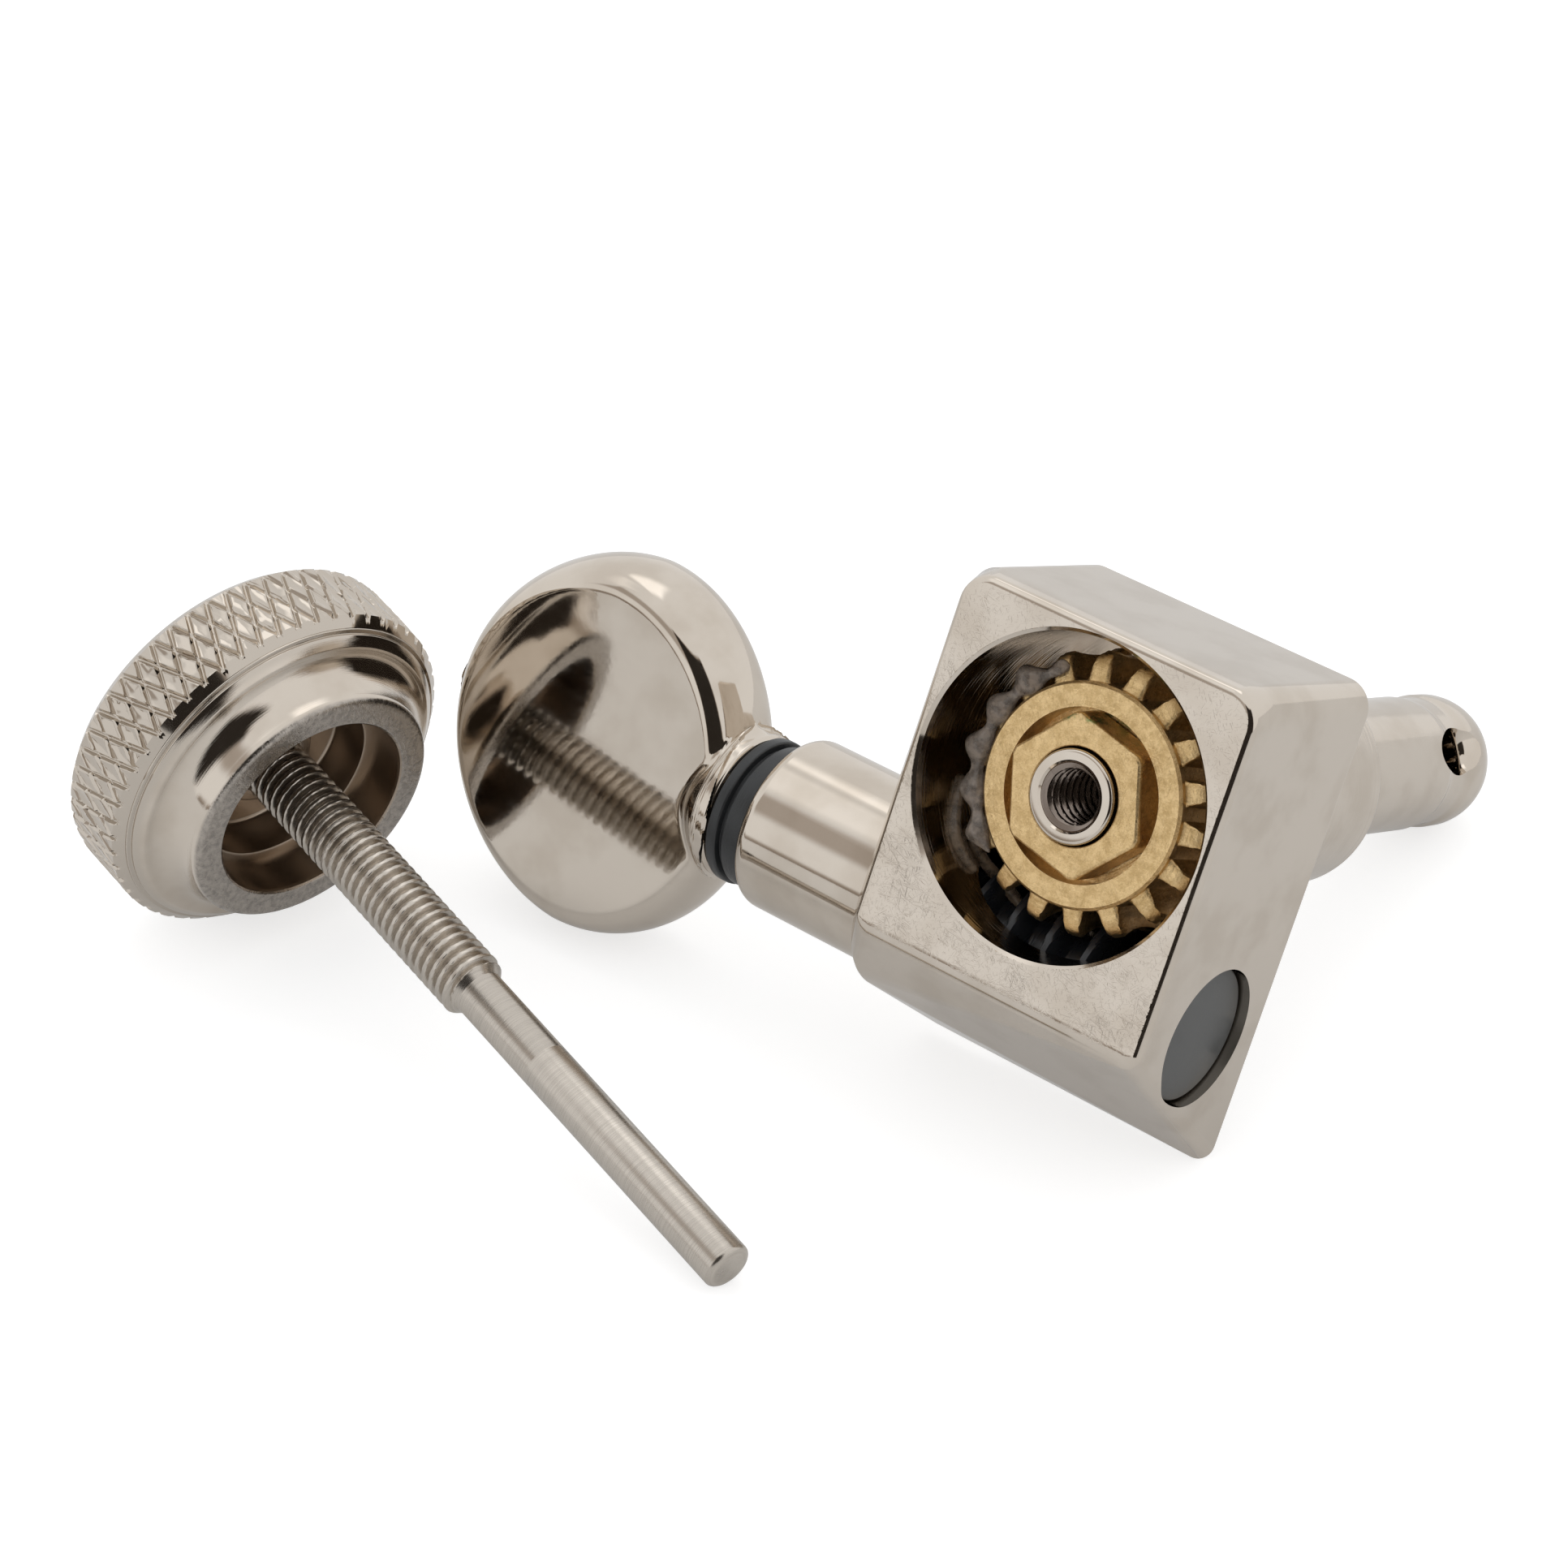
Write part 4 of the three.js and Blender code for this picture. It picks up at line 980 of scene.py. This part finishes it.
HUB_END, WHEEL_END = 29.7, 36.35
KNURL_START, KNURL_END = 32.2, 35.85
KNURL_RADIUS, KNURL_COUNT, DIAMOND_LENGTH = 8.3, 54, 2.4
GROOVE_PLACES = (0, 0.035, 0.125, 0.165, 0.22, 0.5)  # shares of the pitch from a groove's middle
GROOVE_HEIGHTS = (-0.17, -0.16, 0, 0.035, 0, 0.008)
KNURL_FOOT = 0.385  # height of the bevel under the knurl
KNURL_BACK_RADIUS = 7.5


def knurl_height(along, angle):
    """The rim's relief: two crossing sets of grooves with a burr beside each leave long diamonds."""
    heights = []
    for side in (-1, 1):
        turn = KNURL_COUNT * angle / (2 * math.pi) + side * along / DIAMOND_LENGTH
        heights.append(float(np.interp(abs(turn - round(turn)), GROOVE_PLACES, GROOVE_HEIGHTS)))
    low, high = sorted(heights)
    if low < 0:
        return low
    wear = noise.noise(Vector((KNURL_RADIUS * math.cos(angle), KNURL_RADIUS * math.sin(angle), along)) * 1.7)
    return high * (1 + 1.4 * wear)


def knurl_radius(along, angle):
    start = KNURL_RADIUS - 0.42 + (along - KNURL_START) * 1.1
    end = KNURL_RADIUS + (KNURL_END - along) * 0.9
    return min(KNURL_RADIUS + knurl_height(along, angle), start, end)


def knurl_skin():
    """A net that follows the grooves, cut off at both ends and closed on the inside."""
    stops = [*GROOVE_PLACES, *(1 - p for p in reversed(GROOVE_PLACES[1:-1]))]
    count = len(stops)
    end = WHEEL_END - 0.02
    middle = round((KNURL_START + end) / 2 / DIAMOND_LENGTH) * DIAMOND_LENGTH
    mesh = bmesh.new()
    verts = {}

    def corner(a, b):
        turns, a_home = divmod(a, KNURL_COUNT * count)
        key = (a_home, b - turns * KNURL_COUNT * count)
        if key not in verts:
            p, q = (index // count + stops[index % count] for index in key)
            angle = 2 * math.pi * (p + q) / 2 / KNURL_COUNT
            along = middle + (p - q) / 2 * DIAMOND_LENGTH
            place = (KNURL_RADIUS * math.cos(angle), KNURL_RADIUS * math.sin(angle), along)
            verts[key] = mesh.verts.new(place)
        return verts[key]

    rows = math.ceil((end - KNURL_START) / DIAMOND_LENGTH) + 2
    for a in range(KNURL_COUNT * count):
        for b in range(a - rows * count, a + rows * count):
            corners = [corner(*key) for key in ((a, b), (a + 1, b), (a + 1, b + 1), (a, b + 1))]
            heights = [vertex.co.z for vertex in corners]
            if max(heights) > KNURL_START - 0.1 and min(heights) < end + 0.1:
                mesh.faces.new(corners)
    levels = ((KNURL_START, True), (KNURL_START + KNURL_FOOT, False), (KNURL_END, False), (end, True))
    for level, clear in levels:
        bmesh.ops.bisect_plane(
            mesh,
            geom=[*mesh.verts, *mesh.edges, *mesh.faces],
            dist=FINE_WELD,
            plane_co=(0, 0, level),
            plane_no=(0, 0, -1 if level == KNURL_START else 1),
            clear_outer=clear,
        )
    spare = [vertex for vertex in mesh.verts if not vertex.link_faces]
    bmesh.ops.delete(mesh, geom=spare, context="VERTS")
    for vertex in mesh.verts:
        radius = knurl_radius(vertex.co.z, math.atan2(vertex.co.y, vertex.co.x))
        place = Vector((vertex.co.x, vertex.co.y, 0)).normalized() * radius
        vertex.co = (place.x, place.y, vertex.co.z)
    open_edges = [edge for edge in mesh.edges if edge.is_boundary]
    inner = bmesh.ops.extrude_edge_only(mesh, edges=open_edges)["geom"]
    for vertex in (g for g in inner if isinstance(g, bmesh.types.BMVert)):
        place = Vector((vertex.co.x, vertex.co.y, 0)).normalized() * KNURL_BACK_RADIUS
        vertex.co = (place.x, place.y, vertex.co.z)
    bmesh.ops.bridge_loops(mesh, edges=[g for g in inner if isinstance(g, bmesh.types.BMEdge)])
    return mesh


hollow = []
for k in range(13):
    turn = math.pi / 2 * k / 12
    hollow.append((7.25 - 1.32 * math.cos(turn), 31.65 - 1.55 * (1 - math.sin(turn))))
wheel_outline = [
    (0, 35.83),
    (1.55, 35.83),
    (1.55, 33.1, 0.08),
    (2.2, 33.1, 0.2),
    (2.3, 34, 0.15),
    (4.15, 34, 0.2),
    (4.15, 31.96, 0.03),
    (4.32, 31.9),
    (4.57, 31.9),
    (4.57, HUB_END + 0.1),
    (4.67, HUB_END, 0.06),
    (5.93, HUB_END, 0.34),
    *hollow,
    (7.3, 31.68),
    (7.66, 31.98, 0.04),
    (7.66, 32.1, 0.03),
    (7.86, 32.12, 0.04),
    (7.86, 32.3),
    (7.6, 32.5),
    (7.6, WHEEL_END, 0.06),
    (6.55, WHEEL_END, 0.1),
    (6.2, 36, 0.1),
    (0, 36),
]
thumbwheel = joined(lathe(wheel_outline, 128), knurl_skin())
piece("thumbwheel_dressed", "thumbscrew", SCREW, thumbwheel, nickel_wheel, ["thumbwheel"], 35)

PIN_RADIUS, PIN_TIP_ROUND, PIN_TIP_HEIGHT = 1.08, 0.4, 0.28
PIN_LINE = ((0, 12.57), (0.012, 12.6), (0.012, 12.64), (0, 12.67))  # depth and place of a fine turned line
THREAD_START, THREAD_END, SPINDLE_END, CREST, ROOT = 17.3, 33.6, 35.75, 1.47, 1.17


def spindle_radius(along, angle):
    lead_in = PIN_RADIUS + (along - THREAD_START) * 0.8
    return min(ROOT + (CREST - ROOT) * thread_share(along, angle), max(lead_in, PIN_RADIUS))


tip = [(0.35, 0.0)]
for k in range(7):
    turn = math.pi / 2 * k / 6
    radius = PIN_RADIUS - PIN_TIP_ROUND + PIN_TIP_ROUND * math.sin(turn)
    tip.append((radius, PIN_TIP_HEIGHT * (1 - math.cos(turn))))
spindle_rows = [plain_ring(radius, along) for radius, along in tip]
spindle_rows += [plain_ring(PIN_RADIUS - depth, along) for depth, along in PIN_LINE]
spindle_rows += thread_rows(THREAD_START, THREAD_END, spindle_radius, 60, 0.0275)
spindle_rows += [plain_ring(CREST, THREAD_END + 0.05), plain_ring(CREST, SPINDLE_END)]
spindle = grid(spindle_rows)
piece("spindle_dressed", "thumbscrew", SCREW, spindle, spindle_steel, ["locking_screw"], 40)


# Floor, light and camera

FLOOR_DROP = 0.02  # mm under the table's height

floor_mesh = bmesh.new()
bmesh.ops.create_circle(floor_mesh, cap_ends=True, segments=96, radius=0.7)
floor_data = bpy.data.meshes.new("floor")
floor_mesh.to_mesh(floor_data)
floor_mesh.free()
floor = bpy.data.objects.new("floor", floor_data)
bpy.context.scene.collection.objects.link(floor)
floor.location.z = -FLOOR_DROP * MM
floor_look, nodes, shader, _ = material("floor_white")
shader.inputs["Base Color"].default_value = (0.5, 0.5, 0.5, 1)
shader.inputs["Roughness"].default_value = 0.7
shader.inputs["Specular IOR Level"].default_value = 0.1
shader.inputs["Emission Color"].default_value = (1, 1, 1, 1)
seen_directly = nodes.add("ShaderNodeLightPath").outputs["Is Camera Ray"]
nodes.put(shader, "Emission Strength", nodes.mixed(seen_directly, 0.2, 0.66))
floor_data.materials.append(floor_look)

# The world is white to the camera. Metal sees a tent, brighter overhead and darker to the left and in front.
world = bpy.data.worlds.new("tent")
bpy.context.scene.world = world
world.use_nodes = True
nodes = Nodes(world.node_tree)
direction = nodes.add("ShaderNodeTexCoord").outputs["Generated"]
x, y, z = nodes.parts(direction)
azimuth = nodes.math("MULTIPLY", nodes.math("ARCTAN2", x, y), 180 / math.pi)
elevation = nodes.math("MULTIPLY", nodes.math("ARCSINE", z), 180 / math.pi)


def patch(level, azimuths, elevations, tone, soft):
    """The tent's light, with a patch of another tone between two azimuths and two elevations, in degrees."""
    mask = None
    for value, (low, high) in ((azimuth, azimuths), (elevation, elevations)):
        rise = nodes.span(value, low - soft, low + soft)
        fall = nodes.span(value, high - soft, high + soft, 1.0, 0.0)
        both = nodes.math("MULTIPLY", rise, fall)
        mask = both if mask is None else nodes.math("MULTIPLY", mask, both)
    return nodes.mixed(mask, level, tone)


level = nodes.mixed(nodes.span(elevation, -20, 0), 0.8, 0.93)
for azimuths, elevations, tone, soft in (
    ((-16, 24), (50, 76), 1.55, 6),
    ((-85, -30), (50, 66), 1.15, 6),
    ((-160, -92), (30, 52), 0.5, 5),
    ((-125, -96), (-10, 3), 0.3, 3),
    ((-140, -90), (5, 24), 0.94, 3),
    ((-200, -148), (-15, 55), 0.03, 2.5),
    ((148, 200), (-15, 55), 0.03, 2.5),
):
    level = patch(level, azimuths, elevations, tone, soft)
rays = nodes.add("ShaderNodeLightPath").outputs
seen = nodes.mixed(rays["Is Glossy Ray"], 1.0, level)
shown = nodes.mixed(rays["Is Camera Ray"], seen, 1.0)
warmth = nodes.mix(nodes.span(shown, 0.2, 0.9), (1, 0.85, 0.72), (1, 1, 1))
background = nodes.add("ShaderNodeBackground", Color=warmth, Strength=shown)
output = nodes.add("ShaderNodeOutputWorld")
nodes.tree.links.new(background.outputs[0], output.inputs["Surface"])


def lamp(name, azimuth_degrees, elevation_degrees, distance, size, power):
    a, e = math.radians(azimuth_degrees), math.radians(elevation_degrees)
    away = Vector((math.sin(a) * math.cos(e), math.cos(a) * math.cos(e), math.sin(e)))
    data = bpy.data.lights.new(name, "AREA")
    data.shape = "DISK"
    data.size = size
    data.energy = power
    made = bpy.data.objects.new(name, data)
    bpy.context.scene.collection.objects.link(made)
    made.location = away * distance
    made.rotation_mode = "QUATERNION"
    made.rotation_quaternion = away.to_track_quat("Z", "Y")
    made.visible_glossy = False
    return made


lamp("overhead", 5, 62, 0.6, 0.4, 0.35)
lamp("left", -105, 30, 0.6, 0.3, 0.12)

# The camera, in millimetres from the middle of the pocket's mouth
CAMERA_OFFSET = (-10.776, -153.740, 107.043)
CAMERA_DOWN = 34.673  # degrees
FOCAL_PIXELS, IMAGE_PIXELS, SENSOR = 5827.4, 1932, 36
camera_data = bpy.data.cameras.new("camera")
camera = bpy.data.objects.new("camera", camera_data)
bpy.context.scene.collection.objects.link(camera)
camera.location = TUNER.translation + Vector(CAMERA_OFFSET) * MM
camera.rotation_euler = (math.radians(90 - CAMERA_DOWN), 0, 0)
camera_data.sensor_width = SENSOR
camera_data.lens = SENSOR * FOCAL_PIXELS / IMAGE_PIXELS
camera_data.clip_start = 0.01
bpy.context.scene.camera = camera
bpy.context.scene.view_settings.view_transform = "Standard"
